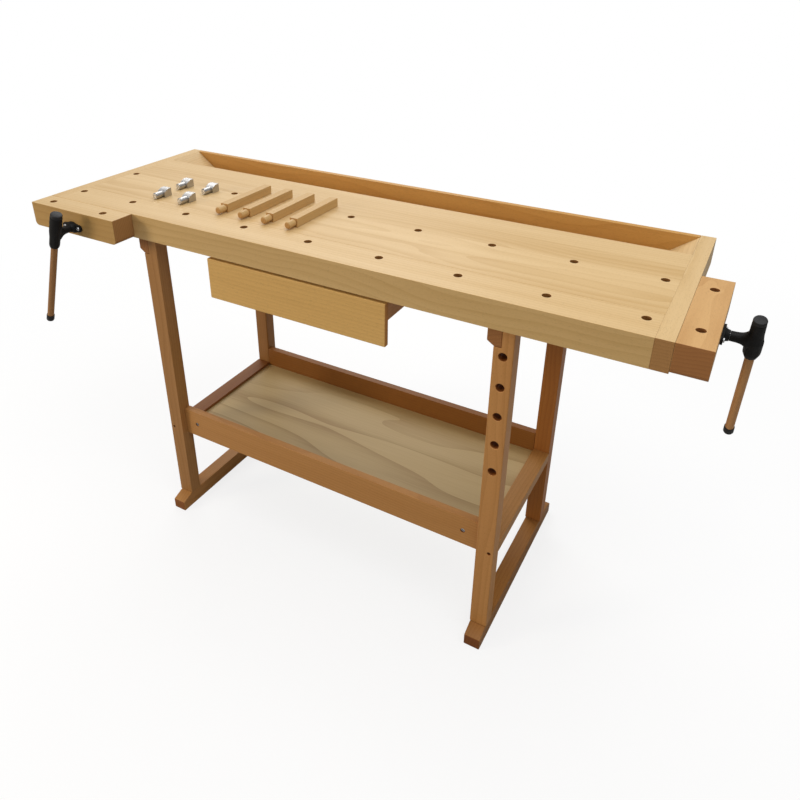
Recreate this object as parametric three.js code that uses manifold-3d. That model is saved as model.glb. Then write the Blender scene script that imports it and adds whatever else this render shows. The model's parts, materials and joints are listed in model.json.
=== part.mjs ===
// A beech woodworking bench with a front vise, a tail vise, a rear tool tray, a drawer and a lower shelf.
// Millimetres, +X along the bench to the right, +Y to the rear, +Z up, origin at the floor under the middle.
import * as THREE from "three";
import { mergeVertices } from "three/addons/utils/BufferGeometryUtils.js";
import Module from "manifold-3d";

// Clearances, how far a cutter passes the faces it cuts, and how finely round shapes are divided
const GLUE_GAP = 0.3;
const RUN_CLEAR = 0.8;
const OVERCUT = 1;
const SMALL_SEGMENTS = 12;
const ROUND_SEGMENTS = 16;
const TURN_SEGMENTS = 24;
const CORNER_SEGMENTS = 4;
const FLANGE_SEGMENTS = 8;

// Top: a thick front strip, a thinner board field, two end caps and a tray along the rear
const BENCH_HEIGHT = 850;
const TOP_LENGTH = 1455;
const EDGE_H = 58;
const END_CAP_W = 30;
const FRONT_STRIP_D = 90;
const PANEL_D = 294.4;
const PANEL_T = 25;
const TRAY_D = 108;
const TRAY_FLOOR_T = 8;
const TRAY_FLOOR_LIP = 5;
const TRAY_BATTEN_W = 18;
const RAMP_RUN = 61;
const REAR_RAIL_T = 14;
const REAR_RAIL_GROOVE = 5;

// Dog holes: two rows on the top, carried on in the vise jaws
const DOG_HOLE_D = 16.6;
const DOG_PITCH = 169.6;
const DOG_FIRST_X = 43.5;
const DOG_END_MARGIN = 20;
const DOG_ROW_FRONT = 62;
const DOG_ROW_REAR = 234;

// Vises: a wooden jaw on two guide rods, drawn by a screw with a tee hub and a sliding bar
const CHOP_LENGTH = 275;
const CHOP_T = 57.5;
const TAIL_JAW_LENGTH = 287;
const TAIL_JAW_T = 58;
const JAW_CORNER_R = 10;
const JAW_OPENING = 120;
const SCREW_D = 20;
const SCREW_HEADROOM = 3;
const SCREW_SHOULDER = 3;
const NECK_D = 16;
const ROD_D = 16;
const ROD_SPACING = 84;
const ROD_EMBED = 45;
const FLANGE_LENGTH = 62;
const FLANGE_H = 27;
const FLANGE_T = 4;
const FLANGE_HOLE_D = 5;
const FLANGE_HOLE_SPACING = 44;
const COLLAR_L = 8;
const COLLAR_ROOT_D = 26.4;
const COLLAR_TIP_D = 20;
const HUB_OUT = 50;
const HUB_UP = 44;
const HUB_DOWN = 38;
const HUB_D = 30;
const HUB_WAIST_D = 26;
const HUB_TOP_D = 25;
const HUB_LOW_D = 29;
const HUB_END_D = 21;
const HUB_WAIST_UP = 20;
const HUB_LOW_DOWN = 30;
const HUB_ROOT_D = 22;
const HUB_ROOT_RUN = 10;
const NUT_LENGTH = 60;
const NUT_T = 20;
const NUT_BELOW = 12.5;
const GUIDE_BLOCK_T = 40;
const GUIDE_BLOCK_INSET = 25;
const GUIDE_BLOCK_SIDE = 15;
const FRONT_BAR_TILT = 20.5;
const TAIL_BAR_TILT = -21;

// Handle bars
const BAR_D = 15.5;
const BAR_LENGTH = 310;
const BAR_CAP_D = 18.4;
const BAR_CAP_L = 17;
const BAR_CAP_WALL = 4;
const BAR_HEAD_D = 23.6;
const BAR_HEAD_L = 9;
const BAR_HEAD_WALL = 3;

// Trestles: two legs on a sled foot, with a bearer let into one side of their tops to carry the top
const LEFT_OVERHANG = 289;
const RIGHT_OVERHANG = 255.8;
const LEG_W = 39.5;
const LEG_D = 34;
const LEG_SETBACK = 8;
const REAR_SETBACK = 90;
const FOOT_W = 37;
const FOOT_H = 40;
const FOOT_TOE_H = 28;
const FOOT_TOE_RUN = 30;
const FOOT_FRONT = 32;
const FOOT_REAR = 62;
const BEARER_PROUD = 13.5;
const BEARER_LAP = 15.5;
const BEARER_H = 38;
const BEARER_CHAMFER = 9;
const BEARER_REAR_SETBACK = 8;
const LEG_HOLE_COUNT = 5;
const LEG_HOLE_PITCH = 65.8;
const LEG_HOLE_DROP = 18;
const LEG_BOLT_INSET = 10;
const LEG_BOLT_BELOW_PANEL = 1.2;
const LEG_BOLT_HOLE_D = 7;
const LEG_BOLT_HOLE_DEPTH = 10;

// Lower shelf: four rails round a plywood panel that sits in grooves
const SHELF_BOTTOM = 238;
const SHELF_RAIL_H = 75;
const SHELF_RAIL_T = 18;
const SHELF_RAIL_INSET = 17;
const SIDE_RAIL_H = 26;
const SIDE_RAIL_OVER_PANEL = 8;
const SHELF_PANEL_T = 8;
const SHELF_PANEL_UP = 12;
const SHELF_GROOVE = 6;
const BARREL_NUT_D = 10;
const BARREL_NUT_INSET = 38;
const BARREL_NUT_SINK = 2;

// Drawer on two ledged runners under the top
const DRAWER_LEFT = 492;
const DRAWER_W = 449;
const DRAWER_FRONT_H = 96;
const DRAWER_FRONT_DROP = 3;
const DRAWER_FRONT_T = 13;
const DRAWER_TOP_GAP = 3;
const DRAWER_BOX_D = 352;
const DRAWER_SIDE_T = 12;
const DRAWER_BOTTOM_T = 5;
const DRAWER_BOTTOM_UP = 5;
const DRAWER_GROOVE = 4;
const RUNNER_INSET = 2;
const RUNNER_T = 15;
const RUNNER_H = 48;
const RUNNER_LEDGE_W = 11;
const RUNNER_LEDGE_H = 8;
const RUNNER_REAR_SETBACK = 2;

// Loose pieces that lie on the top: steel bench dogs and wooden pegs
const PEG_COUNT = 4;
const PEG_FIRST_X = 452;
const PEG_PITCH = 64.8;
const PEG_FRONT_Y = 93;
const PEG_SIZE = 20;
const PEG_BAR_L = 163;
const PEG_SPIGOT_D = 16.2;
const PEG_SPIGOT_L = 24;
const PEG_NOSE_R = 3;
const DOG_STEM_D = 15.5;
const DOG_STEM_L = 22;
const DOG_HEAD_W = 23;
const DOG_HEAD_L = 23;
const DOG_HEAD_H = 19;
const DOG_HEAD_SLOPE_RUN = 12;
const DOG_HEAD_SLOPE_DROP = 6;
const DOG_PLACES = [[246, 102], [242.5, 184], [325.5, 102], [324.5, 186]];

// Places worked out from the sizes above
const EDGE_BOTTOM = BENCH_HEIGHT - EDGE_H;
const PANEL_BOTTOM = BENCH_HEIGHT - PANEL_T;
const BOARDS_X0 = END_CAP_W + GLUE_GAP;
const BOARDS_X1 = TOP_LENGTH - END_CAP_W - GLUE_GAP;
const PANEL_Y0 = FRONT_STRIP_D + GLUE_GAP;
const TRAY_Y0 = PANEL_Y0 + PANEL_D;
const REAR_RAIL_Y0 = TRAY_Y0 + TRAY_D;
const TOP_DEPTH = REAR_RAIL_Y0 + REAR_RAIL_T;
const TRAY_FLOOR_BOTTOM = EDGE_BOTTOM + TRAY_FLOOR_LIP;
const TRAY_FLOOR_TOP = TRAY_FLOOR_BOTTOM + TRAY_FLOOR_T;
const SCREW_Z = PANEL_BOTTOM - SCREW_HEADROOM - SCREW_D / 2;
const CHOP_MIDDLE_X = CHOP_LENGTH / 2;
const TAIL_JAW_MIDDLE_Y = TAIL_JAW_LENGTH / 2;
const CHOP_FACE_Y = -GLUE_GAP - CHOP_T;
const TAIL_FACE_X = TOP_LENGTH + GLUE_GAP + TAIL_JAW_T;
const FRONT_NUT_Y1 = PANEL_Y0 + NUT_T;
const GUIDE_BLOCK_X1 = TOP_LENGTH - END_CAP_W - GUIDE_BLOCK_INSET;
const GUIDE_BLOCK_X0 = GUIDE_BLOCK_X1 - GUIDE_BLOCK_T;
const FRONT_REACH = FRONT_NUT_Y1 + JAW_OPENING + GUIDE_BLOCK_SIDE;
const TAIL_REACH = TOP_LENGTH - GUIDE_BLOCK_X0 + JAW_OPENING + GUIDE_BLOCK_SIDE;
const LEFT_LEG_X = LEFT_OVERHANG;
const RIGHT_LEG_X = TOP_LENGTH - RIGHT_OVERHANG - LEG_W;
const REAR_LEG_Y = TOP_DEPTH - REAR_SETBACK - LEG_D;
const FRONT_LEG_BACK = LEG_SETBACK + LEG_D;
const BEARER_TOP = EDGE_BOTTOM - GLUE_GAP;
const BEARER_BOTTOM = BEARER_TOP - BEARER_H;
const LEG_BOTTOM = FOOT_H + GLUE_GAP;
const LEG_TOP = BEARER_TOP;
const LEG_SHOULDER = BEARER_BOTTOM - GLUE_GAP;
const SHELF_X0 = LEFT_LEG_X + LEG_W + GLUE_GAP;
const SHELF_X1 = RIGHT_LEG_X - GLUE_GAP;
const FRONT_RAIL_Y0 = LEG_SETBACK + SHELF_RAIL_INSET;
const FRONT_RAIL_Y1 = FRONT_RAIL_Y0 + SHELF_RAIL_T;
const REAR_RAIL_SHELF_Y1 = REAR_LEG_Y + LEG_D - SHELF_RAIL_INSET;
const REAR_RAIL_SHELF_Y0 = REAR_RAIL_SHELF_Y1 - SHELF_RAIL_T;
const SHELF_PANEL_Z = SHELF_BOTTOM + SHELF_PANEL_UP;
const SHELF_PANEL_TOP = SHELF_PANEL_Z + SHELF_PANEL_T;
const SHELF_RAIL_TOP = SHELF_BOTTOM + SHELF_RAIL_H;
const SIDE_RAIL_TOP = SHELF_PANEL_TOP + SIDE_RAIL_OVER_PANEL;
const RUNNER_TOP = EDGE_BOTTOM - GLUE_GAP;
const RUNNER_BOTTOM = RUNNER_TOP - RUNNER_H;
const DRAWER_TOP = EDGE_BOTTOM - DRAWER_TOP_GAP;
const DRAWER_BOX_BOTTOM = RUNNER_BOTTOM + RUNNER_LEDGE_H + GLUE_GAP;
const DRAWER_BOX_Y0 = DRAWER_FRONT_T + GLUE_GAP;
const DRAWER_BOX_Y1 = DRAWER_BOX_Y0 + DRAWER_BOX_D;
const LOOSE_Z = BENCH_HEIGHT + GLUE_GAP;

const wasm = await Module();
wasm.setup();

const finishes = {
  topBeech: new THREE.MeshStandardMaterial({ color: 0xdec496, roughness: 0.42, metalness: 0 }),
  frameBeech: new THREE.MeshStandardMaterial({ color: 0xb98a52, roughness: 0.5, metalness: 0 }),
  jawBeech: new THREE.MeshStandardMaterial({ color: 0xd2a468, roughness: 0.45, metalness: 0 }),
  trayBeech: new THREE.MeshStandardMaterial({ color: 0xa8733c, roughness: 0.5, metalness: 0 }),
  plywood: new THREE.MeshStandardMaterial({ color: 0xc9b284, roughness: 0.6, metalness: 0 }),
  barBeech: new THREE.MeshStandardMaterial({ color: 0x9a6a3c, roughness: 0.5, metalness: 0 }),
  blackCasting: new THREE.MeshStandardMaterial({ color: 0x17181a, roughness: 0.6, metalness: 0.3 }),
  blackPlastic: new THREE.MeshStandardMaterial({ color: 0x1d1d1f, roughness: 0.55, metalness: 0 }),
  steel: new THREE.MeshStandardMaterial({ color: 0x9a9da0, roughness: 0.35, metalness: 1 }),
  brightSteel: new THREE.MeshStandardMaterial({ color: 0xd2d4d6, roughness: 0.22, metalness: 1 }),
};

// Shapes: every function below returns a closed geometry in the frame it is used in

function block(x0, x1, y0, y1, z0, z1) {
  const geometry = new THREE.BoxGeometry(x1 - x0, y1 - y0, z1 - z0);
  return geometry.translate((x0 + x1) / 2, (y0 + y1) / 2, (z0 + z1) / 2);
}

// A rod of round section from one point to another
function rod(from, to, radius, segments = ROUND_SEGMENTS) {
  const start = new THREE.Vector3(...from);
  const along = new THREE.Vector3(...to).sub(start);
  const geometry = new THREE.CylinderGeometry(radius, radius, along.length(), segments);
  const direction = along.clone().normalize();
  const turn = new THREE.Quaternion().setFromUnitVectors(new THREE.Vector3(0, 1, 0), direction);
  geometry.applyQuaternion(turn);
  const middle = start.addScaledVector(along, 0.5);
  return geometry.translate(middle.x, middle.y, middle.z);
}

// An outline in the XY plane of a shape, given as points, drawn out along its own Z
function drawn(points, length) {
  const outline = new THREE.Shape(points.map(([u, v]) => new THREE.Vector2(u, v)));
  return new THREE.ExtrudeGeometry(outline, { depth: length, bevelEnabled: false });
}

// An outline in YZ drawn out along +X from x0
function drawnAlongX(points, x0, length) {
  const geometry = drawn(points, length);
  geometry.applyMatrix4(new THREE.Matrix4().makeBasis(
    new THREE.Vector3(0, 1, 0), new THREE.Vector3(0, 0, 1), new THREE.Vector3(1, 0, 0)));
  return geometry.translate(x0, 0, 0);
}

// An outline in ZX drawn out along +Y from y0
function drawnAlongY(points, y0, length) {
  const geometry = drawn(points, length);
  geometry.applyMatrix4(new THREE.Matrix4().makeBasis(
    new THREE.Vector3(0, 0, 1), new THREE.Vector3(1, 0, 0), new THREE.Vector3(0, 1, 0)));
  return geometry.translate(0, y0, 0);
}

// A turned piece: pairs of radius and place along the axis, with the axis turned to the given direction
function turned(profile, direction, segments = TURN_SEGMENTS) {
  const geometry = new THREE.LatheGeometry(profile.map(([r, a]) => new THREE.Vector2(r, a)), segments);
  const turn = new THREE.Quaternion().setFromUnitVectors(new THREE.Vector3(0, 1, 0), direction);
  return geometry.applyQuaternion(turn);
}

function solidOf(geometry) {
  const bare = geometry.clone();
  bare.deleteAttribute("normal");
  bare.deleteAttribute("uv");
  const merged = mergeVertices(bare, 1e-4);
  const mesh = new wasm.Mesh({
    numProp: 3,
    vertProperties: new Float32Array(merged.attributes.position.array),
    triVerts: new Uint32Array(merged.index.array),
  });
  return new wasm.Manifold(mesh);
}

function geometryOf(solid) {
  const mesh = solid.getMesh();
  const geometry = new THREE.BufferGeometry();
  geometry.setAttribute("position", new THREE.BufferAttribute(new Float32Array(mesh.vertProperties), 3));
  geometry.setIndex(new THREE.BufferAttribute(new Uint32Array(mesh.triVerts), 1));
  geometry.computeVertexNormals();
  return geometry;
}

function cut(geometry, cutters) {
  return geometryOf(cutters.reduce((left, cutter) => left.subtract(solidOf(cutter)), solidOf(geometry)));
}

function join(geometries) {
  const solids = geometries.map(solidOf);
  return geometryOf(solids.reduce((sum, next) => sum.add(next)));
}

function piece(parent, name, geometry, finish) {
  const mesh = new THREE.Mesh(geometry, finish);
  mesh.name = name;
  parent.add(mesh);
  return mesh;
}

// Dog hole columns, as many as fit between the first column and the right end cap
function dogColumns() {
  const room = BOARDS_X1 - DOG_END_MARGIN - DOG_FIRST_X;
  const count = Math.floor(room / DOG_PITCH) + 1;
  return Array.from({ length: count }, (unused, i) => DOG_FIRST_X + i * DOG_PITCH);
}

function dogHole(x, y) {
  const above = BENCH_HEIGHT + OVERCUT;
  const below = EDGE_BOTTOM - OVERCUT;
  return rod([x, y, below], [x, y, above], DOG_HOLE_D / 2);
}

// Bores for a vise's screw and two rods along X or Y through the pieces of the top
function viseBores(axis, from, to) {
  const bores = [];
  for (const [offset, diameter] of [[0, SCREW_D], [-ROD_SPACING / 2, ROD_D], [ROD_SPACING / 2, ROD_D]]) {
    const radius = diameter / 2 + RUN_CLEAR;
    const at = (a) => axis === "x"
      ? [a, TAIL_JAW_MIDDLE_Y + offset, SCREW_Z]
      : [CHOP_MIDDLE_X + offset, a, SCREW_Z];
    bores.push(rod(at(from), at(to), radius, TURN_SEGMENTS));
  }
  return bores;
}

// The work surface: front strip, board field and end caps
function addTop(bench) {
  const columns = dogColumns();
  const strip = block(BOARDS_X0, BOARDS_X1, 0, FRONT_STRIP_D, EDGE_BOTTOM, BENCH_HEIGHT);
  const stripHoles = columns.map((x) => dogHole(x, DOG_ROW_FRONT));
  const tailRodEnd = TOP_LENGTH - TAIL_REACH - RUN_CLEAR;
  const frontBores = viseBores("y", -OVERCUT, FRONT_STRIP_D + OVERCUT);
  const stripBores = [...frontBores, ...viseBores("x", tailRodEnd, BOARDS_X1 + OVERCUT)];
  piece(bench, "front_strip", cut(strip, [...stripHoles, ...stripBores]), finishes.topBeech);

  const panel = block(BOARDS_X0, BOARDS_X1, PANEL_Y0, TRAY_Y0, PANEL_BOTTOM, BENCH_HEIGHT);
  piece(bench, "top_panel", cut(panel, columns.map((x) => dogHole(x, DOG_ROW_REAR))), finishes.topBeech);

  const leftCap = block(0, END_CAP_W, 0, TOP_DEPTH, EDGE_BOTTOM, BENCH_HEIGHT);
  piece(bench, "left_end_cap", leftCap, finishes.topBeech);
  const rightCap = block(TOP_LENGTH - END_CAP_W, TOP_LENGTH, 0, TOP_DEPTH, EDGE_BOTTOM, BENCH_HEIGHT);
  const capBores = viseBores("x", TOP_LENGTH - END_CAP_W - OVERCUT, TOP_LENGTH + OVERCUT);
  piece(bench, "right_end_cap", cut(rightCap, capBores), finishes.topBeech);
}

// The tool tray: a floor let into the rear rail and hung from the field on a batten, a ramp at each end
function addTray(bench) {
  const groove = REAR_RAIL_Y0 + REAR_RAIL_GROOVE;
  const low = TRAY_FLOOR_BOTTOM - GLUE_GAP;
  const high = TRAY_FLOOR_TOP + GLUE_GAP;
  const section = [[REAR_RAIL_Y0, EDGE_BOTTOM], [TOP_DEPTH, EDGE_BOTTOM], [TOP_DEPTH, BENCH_HEIGHT],
    [REAR_RAIL_Y0, BENCH_HEIGHT], [REAR_RAIL_Y0, high], [groove, high], [groove, low], [REAR_RAIL_Y0, low]];
  piece(bench, "rear_rail", drawnAlongX(section, BOARDS_X0, BOARDS_X1 - BOARDS_X0), finishes.trayBeech);
  const battenY0 = TRAY_Y0 - TRAY_BATTEN_W;
  const floorY1 = groove - GLUE_GAP;
  const battenTop = PANEL_BOTTOM - GLUE_GAP;
  const floor = [[battenY0, TRAY_FLOOR_BOTTOM], [floorY1, TRAY_FLOOR_BOTTOM], [floorY1, TRAY_FLOOR_TOP],
    [TRAY_Y0, TRAY_FLOOR_TOP], [TRAY_Y0, battenTop], [battenY0, battenTop]];
  piece(bench, "tray_floor", drawnAlongX(floor, BOARDS_X0, BOARDS_X1 - BOARDS_X0), finishes.plywood);
  const rampY0 = TRAY_Y0 + GLUE_GAP;
  const rampWidth = TRAY_D - 2 * GLUE_GAP;
  for (const [side, end, run] of [["left", BOARDS_X0, RAMP_RUN], ["right", BOARDS_X1, -RAMP_RUN]]) {
    const outline = [[high, end], [BENCH_HEIGHT, end], [high, end + run]];
    const facingOut = run > 0 ? outline : outline.reverse();
    piece(bench, `tray_ramp_${side}`, drawnAlongY(facingOut, rampY0, rampWidth), finishes.topBeech);
  }
}

// A jaw in its own frame: +X is out of its front face, which lies at x = 0
function jawGeometry(length, thickness, holes) {
  const half = length / 2;
  const top = BENCH_HEIGHT - SCREW_Z;
  const bottom = EDGE_BOTTOM - SCREW_Z;
  const outline = new THREE.Shape();
  outline.moveTo(-half, top);
  outline.lineTo(-half, bottom + JAW_CORNER_R);
  outline.absarc(-half + JAW_CORNER_R, bottom + JAW_CORNER_R, JAW_CORNER_R, Math.PI, 1.5 * Math.PI, false);
  outline.lineTo(half - JAW_CORNER_R, bottom);
  outline.absarc(half - JAW_CORNER_R, bottom + JAW_CORNER_R, JAW_CORNER_R, 1.5 * Math.PI, 2 * Math.PI, false);
  outline.lineTo(half, top);
  const along = { depth: thickness, bevelEnabled: false, curveSegments: CORNER_SEGMENTS };
  const body = new THREE.ExtrudeGeometry(outline, along);
  body.applyMatrix4(new THREE.Matrix4().makeBasis(
    new THREE.Vector3(0, 1, 0), new THREE.Vector3(0, 0, 1), new THREE.Vector3(1, 0, 0)));
  body.translate(-thickness, 0, 0);
  const holeX = -thickness / 2;
  const [below, above] = [bottom - OVERCUT, top + OVERCUT];
  const cutters = holes.map((y) => rod([holeX, y, below], [holeX, y, above], DOG_HOLE_D / 2));
  const back = -thickness - OVERCUT;
  cutters.push(rod([back, 0, 0], [OVERCUT, 0, 0], SCREW_D / 2 + RUN_CLEAR, TURN_SEGMENTS));
  for (const side of [-1, 1]) {
    const y = side * ROD_SPACING / 2;
    const seat = -thickness + ROD_EMBED + GLUE_GAP;
    cutters.push(rod([back, y, 0], [seat, y, 0], ROD_D / 2 + GLUE_GAP));
  }
  return cut(body, cutters);
}

// An oval plate with a tapered collar that holds the screw in the jaw
function flangeGeometry() {
  const inner = GLUE_GAP;
  const plateEnd = inner + FLANGE_T;
  const collarEnd = plateEnd + COLLAR_L;
  const endR = FLANGE_H / 2;
  const reach = FLANGE_LENGTH / 2 - endR;
  const outline = new THREE.Shape();
  outline.absarc(reach, 0, endR, -Math.PI / 2, Math.PI / 2, false);
  outline.absarc(-reach, 0, endR, Math.PI / 2, 1.5 * Math.PI, false);
  const along = { depth: FLANGE_T, bevelEnabled: false, curveSegments: FLANGE_SEGMENTS };
  const plate = new THREE.ExtrudeGeometry(outline, along);
  plate.applyMatrix4(new THREE.Matrix4().makeBasis(
    new THREE.Vector3(0, 1, 0), new THREE.Vector3(0, 0, 1), new THREE.Vector3(1, 0, 0)));
  plate.translate(inner, 0, 0);
  const inPlate = inner + FLANGE_T / 4;
  const collar = turned([[0, inPlate], [COLLAR_ROOT_D / 2, inPlate], [COLLAR_ROOT_D / 2, plateEnd],
    [COLLAR_TIP_D / 2, collarEnd], [0, collarEnd]], new THREE.Vector3(1, 0, 0));
  const cutters = [rod([0, 0, 0], [collarEnd + OVERCUT, 0, 0], NECK_D / 2 + RUN_CLEAR, TURN_SEGMENTS)];
  for (const side of [-1, 1]) {
    const y = side * FLANGE_HOLE_SPACING / 2;
    cutters.push(rod([0, y, 0], [plateEnd + OVERCUT, y, 0], FLANGE_HOLE_D / 2, SMALL_SEGMENTS));
  }
  return cut(join([plate, collar]), cutters);
}

// The tee hub: a barrel across the screw, bored for the bar, on a neck that runs back to the collar
function hubGeometry(barAxis, neckStart) {
  const barrel = turned([[0, -HUB_DOWN], [HUB_END_D / 2, -HUB_DOWN], [HUB_LOW_D / 2, -HUB_LOW_DOWN],
    [HUB_D / 2, 0], [HUB_WAIST_D / 2, HUB_WAIST_UP], [HUB_TOP_D / 2, HUB_UP], [0, HUB_UP]], barAxis);
  barrel.translate(HUB_OUT, 0, 0);
  const rootEnd = HUB_OUT - HUB_ROOT_D / 2;
  const neck = turned([[0, neckStart], [NECK_D / 2, neckStart], [NECK_D / 2, rootEnd - HUB_ROOT_RUN],
    [HUB_ROOT_D / 2, rootEnd], [HUB_ROOT_D / 2, HUB_OUT], [0, HUB_OUT]], new THREE.Vector3(1, 0, 0));
  const middle = new THREE.Vector3(HUB_OUT, 0, 0);
  const low = middle.clone().addScaledVector(barAxis, -HUB_DOWN - OVERCUT).toArray();
  const high = middle.clone().addScaledVector(barAxis, HUB_UP + OVERCUT).toArray();
  return cut(join([barrel, neck]), [rod(low, high, BAR_D / 2 + RUN_CLEAR, TURN_SEGMENTS)]);
}

// One vise in its own frame: the screw axis is X, the jaw's front face is at x = 0 and +X points outwards
function addVise(bench, name, place, jaw, tilt, reach) {
  const vise = new THREE.Group();
  vise.position.set(...place.position);
  vise.rotation.z = place.turn;
  bench.add(vise);
  piece(vise, jaw.name, jawGeometry(jaw.length, jaw.thickness, jaw.holes), finishes.jawBeech);
  const benchFace = -jaw.thickness - GLUE_GAP;
  for (const [side, label] of [[-1, "left"], [1, "right"]]) {
    const y = side * ROD_SPACING / 2;
    const guide = rod([benchFace - reach, y, 0], [-jaw.thickness + ROD_EMBED, y, 0], ROD_D / 2);
    piece(vise, `${name}_guide_rod_${label}`, guide, finishes.steel);
  }
  piece(vise, `${name}_flange`, flangeGeometry(), finishes.blackCasting);
  const neckStart = GLUE_GAP + FLANGE_T + COLLAR_L + RUN_CLEAR;
  const [screwEnd, neckEnd] = [benchFace - reach, neckStart - GLUE_GAP];
  const screw = turned([[0, screwEnd], [SCREW_D / 2, screwEnd], [SCREW_D / 2, -SCREW_SHOULDER],
    [NECK_D / 2, -SCREW_SHOULDER], [NECK_D / 2, neckEnd], [0, neckEnd]], new THREE.Vector3(1, 0, 0));
  piece(vise, `${name}_screw`, screw, finishes.steel);
  const lean = THREE.MathUtils.degToRad(tilt);
  const barAxis = new THREE.Vector3(0, Math.sin(lean), Math.cos(lean));
  piece(vise, `${name}_hub`, hubGeometry(barAxis, neckStart), finishes.blackCasting);
  addBar(vise, name, barAxis);
}

// The sliding bar hangs by its head on the top of the hub, with a cap on its lower end
function addBar(vise, name, barAxis) {
  const middle = new THREE.Vector3(HUB_OUT, 0, 0);
  const headStart = HUB_UP + GLUE_GAP;
  const barTop = headStart + BAR_HEAD_L - BAR_HEAD_WALL;
  const barEnd = barTop - BAR_LENGTH;
  const seatR = BAR_D / 2 + GLUE_GAP;
  const bar = turned([[0, barEnd], [BAR_D / 2, barEnd], [BAR_D / 2, barTop], [0, barTop]], barAxis);
  piece(vise, `${name}_bar`, bar.translate(HUB_OUT, 0, 0), finishes.barBeech);
  const headSeat = barTop + GLUE_GAP;
  const headEnd = headStart + BAR_HEAD_L + GLUE_GAP;
  const headR = BAR_HEAD_D / 2;
  const head = turned([[seatR, headStart], [headR, headStart], [headR, headEnd], [0, headEnd], [0, headSeat],
    [seatR, headSeat], [seatR, headStart]], barAxis);
  piece(vise, `${name}_bar_head`, head.translate(...middle.toArray()), finishes.blackPlastic);
  const capSeat = barEnd - GLUE_GAP;
  const capEnd = capSeat - BAR_CAP_WALL;
  const capMouth = capEnd + BAR_CAP_L;
  const cap = turned([[0, capEnd], [BAR_CAP_D / 2, capEnd], [BAR_CAP_D / 2, capMouth], [seatR, capMouth],
    [seatR, capSeat], [0, capSeat]], barAxis);
  piece(vise, `${name}_bar_cap`, cap.translate(...middle.toArray()), finishes.blackPlastic);
}

function addVises(bench) {
  const chopHoles = dogColumns().filter((x) => x + DOG_HOLE_D < CHOP_LENGTH).map((x) => x - CHOP_MIDDLE_X);
  const chop = { name: "front_chop", length: CHOP_LENGTH, thickness: CHOP_T, holes: chopHoles };
  const frontPlace = { position: [CHOP_MIDDLE_X, CHOP_FACE_Y, SCREW_Z], turn: -Math.PI / 2 };
  addVise(bench, "front_vise", frontPlace, chop, FRONT_BAR_TILT, FRONT_REACH);

  const jawHoles = [DOG_ROW_FRONT - TAIL_JAW_MIDDLE_Y, DOG_ROW_REAR - TAIL_JAW_MIDDLE_Y];
  const jaw = { name: "tail_jaw", length: TAIL_JAW_LENGTH, thickness: TAIL_JAW_T, holes: jawHoles };
  const tailPlace = { position: [TAIL_FACE_X, TAIL_JAW_MIDDLE_Y, SCREW_Z], turn: 0 };
  addVise(bench, "tail_vise", tailPlace, jaw, TAIL_BAR_TILT, TAIL_REACH);

  const nutTop = PANEL_BOTTOM - GLUE_GAP;
  const nut = block(CHOP_MIDDLE_X - NUT_LENGTH / 2, CHOP_MIDDLE_X + NUT_LENGTH / 2, PANEL_Y0, FRONT_NUT_Y1,
    SCREW_Z - NUT_BELOW, nutTop);
  const nutBores = viseBores("y", PANEL_Y0 - OVERCUT, FRONT_NUT_Y1 + OVERCUT);
  piece(bench, "front_vise_nut", cut(nut, nutBores), finishes.blackCasting);
  const guideY1 = TAIL_JAW_MIDDLE_Y + ROD_SPACING / 2 + ROD_D / 2 + GUIDE_BLOCK_SIDE;
  const guide = block(GUIDE_BLOCK_X0, GUIDE_BLOCK_X1, PANEL_Y0, guideY1, EDGE_BOTTOM, nutTop);
  const guideBores = viseBores("x", GUIDE_BLOCK_X0 - OVERCUT, GUIDE_BLOCK_X1 + OVERCUT);
  piece(bench, "tail_guide_block", cut(guide, guideBores), finishes.frameBeech);
}

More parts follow.
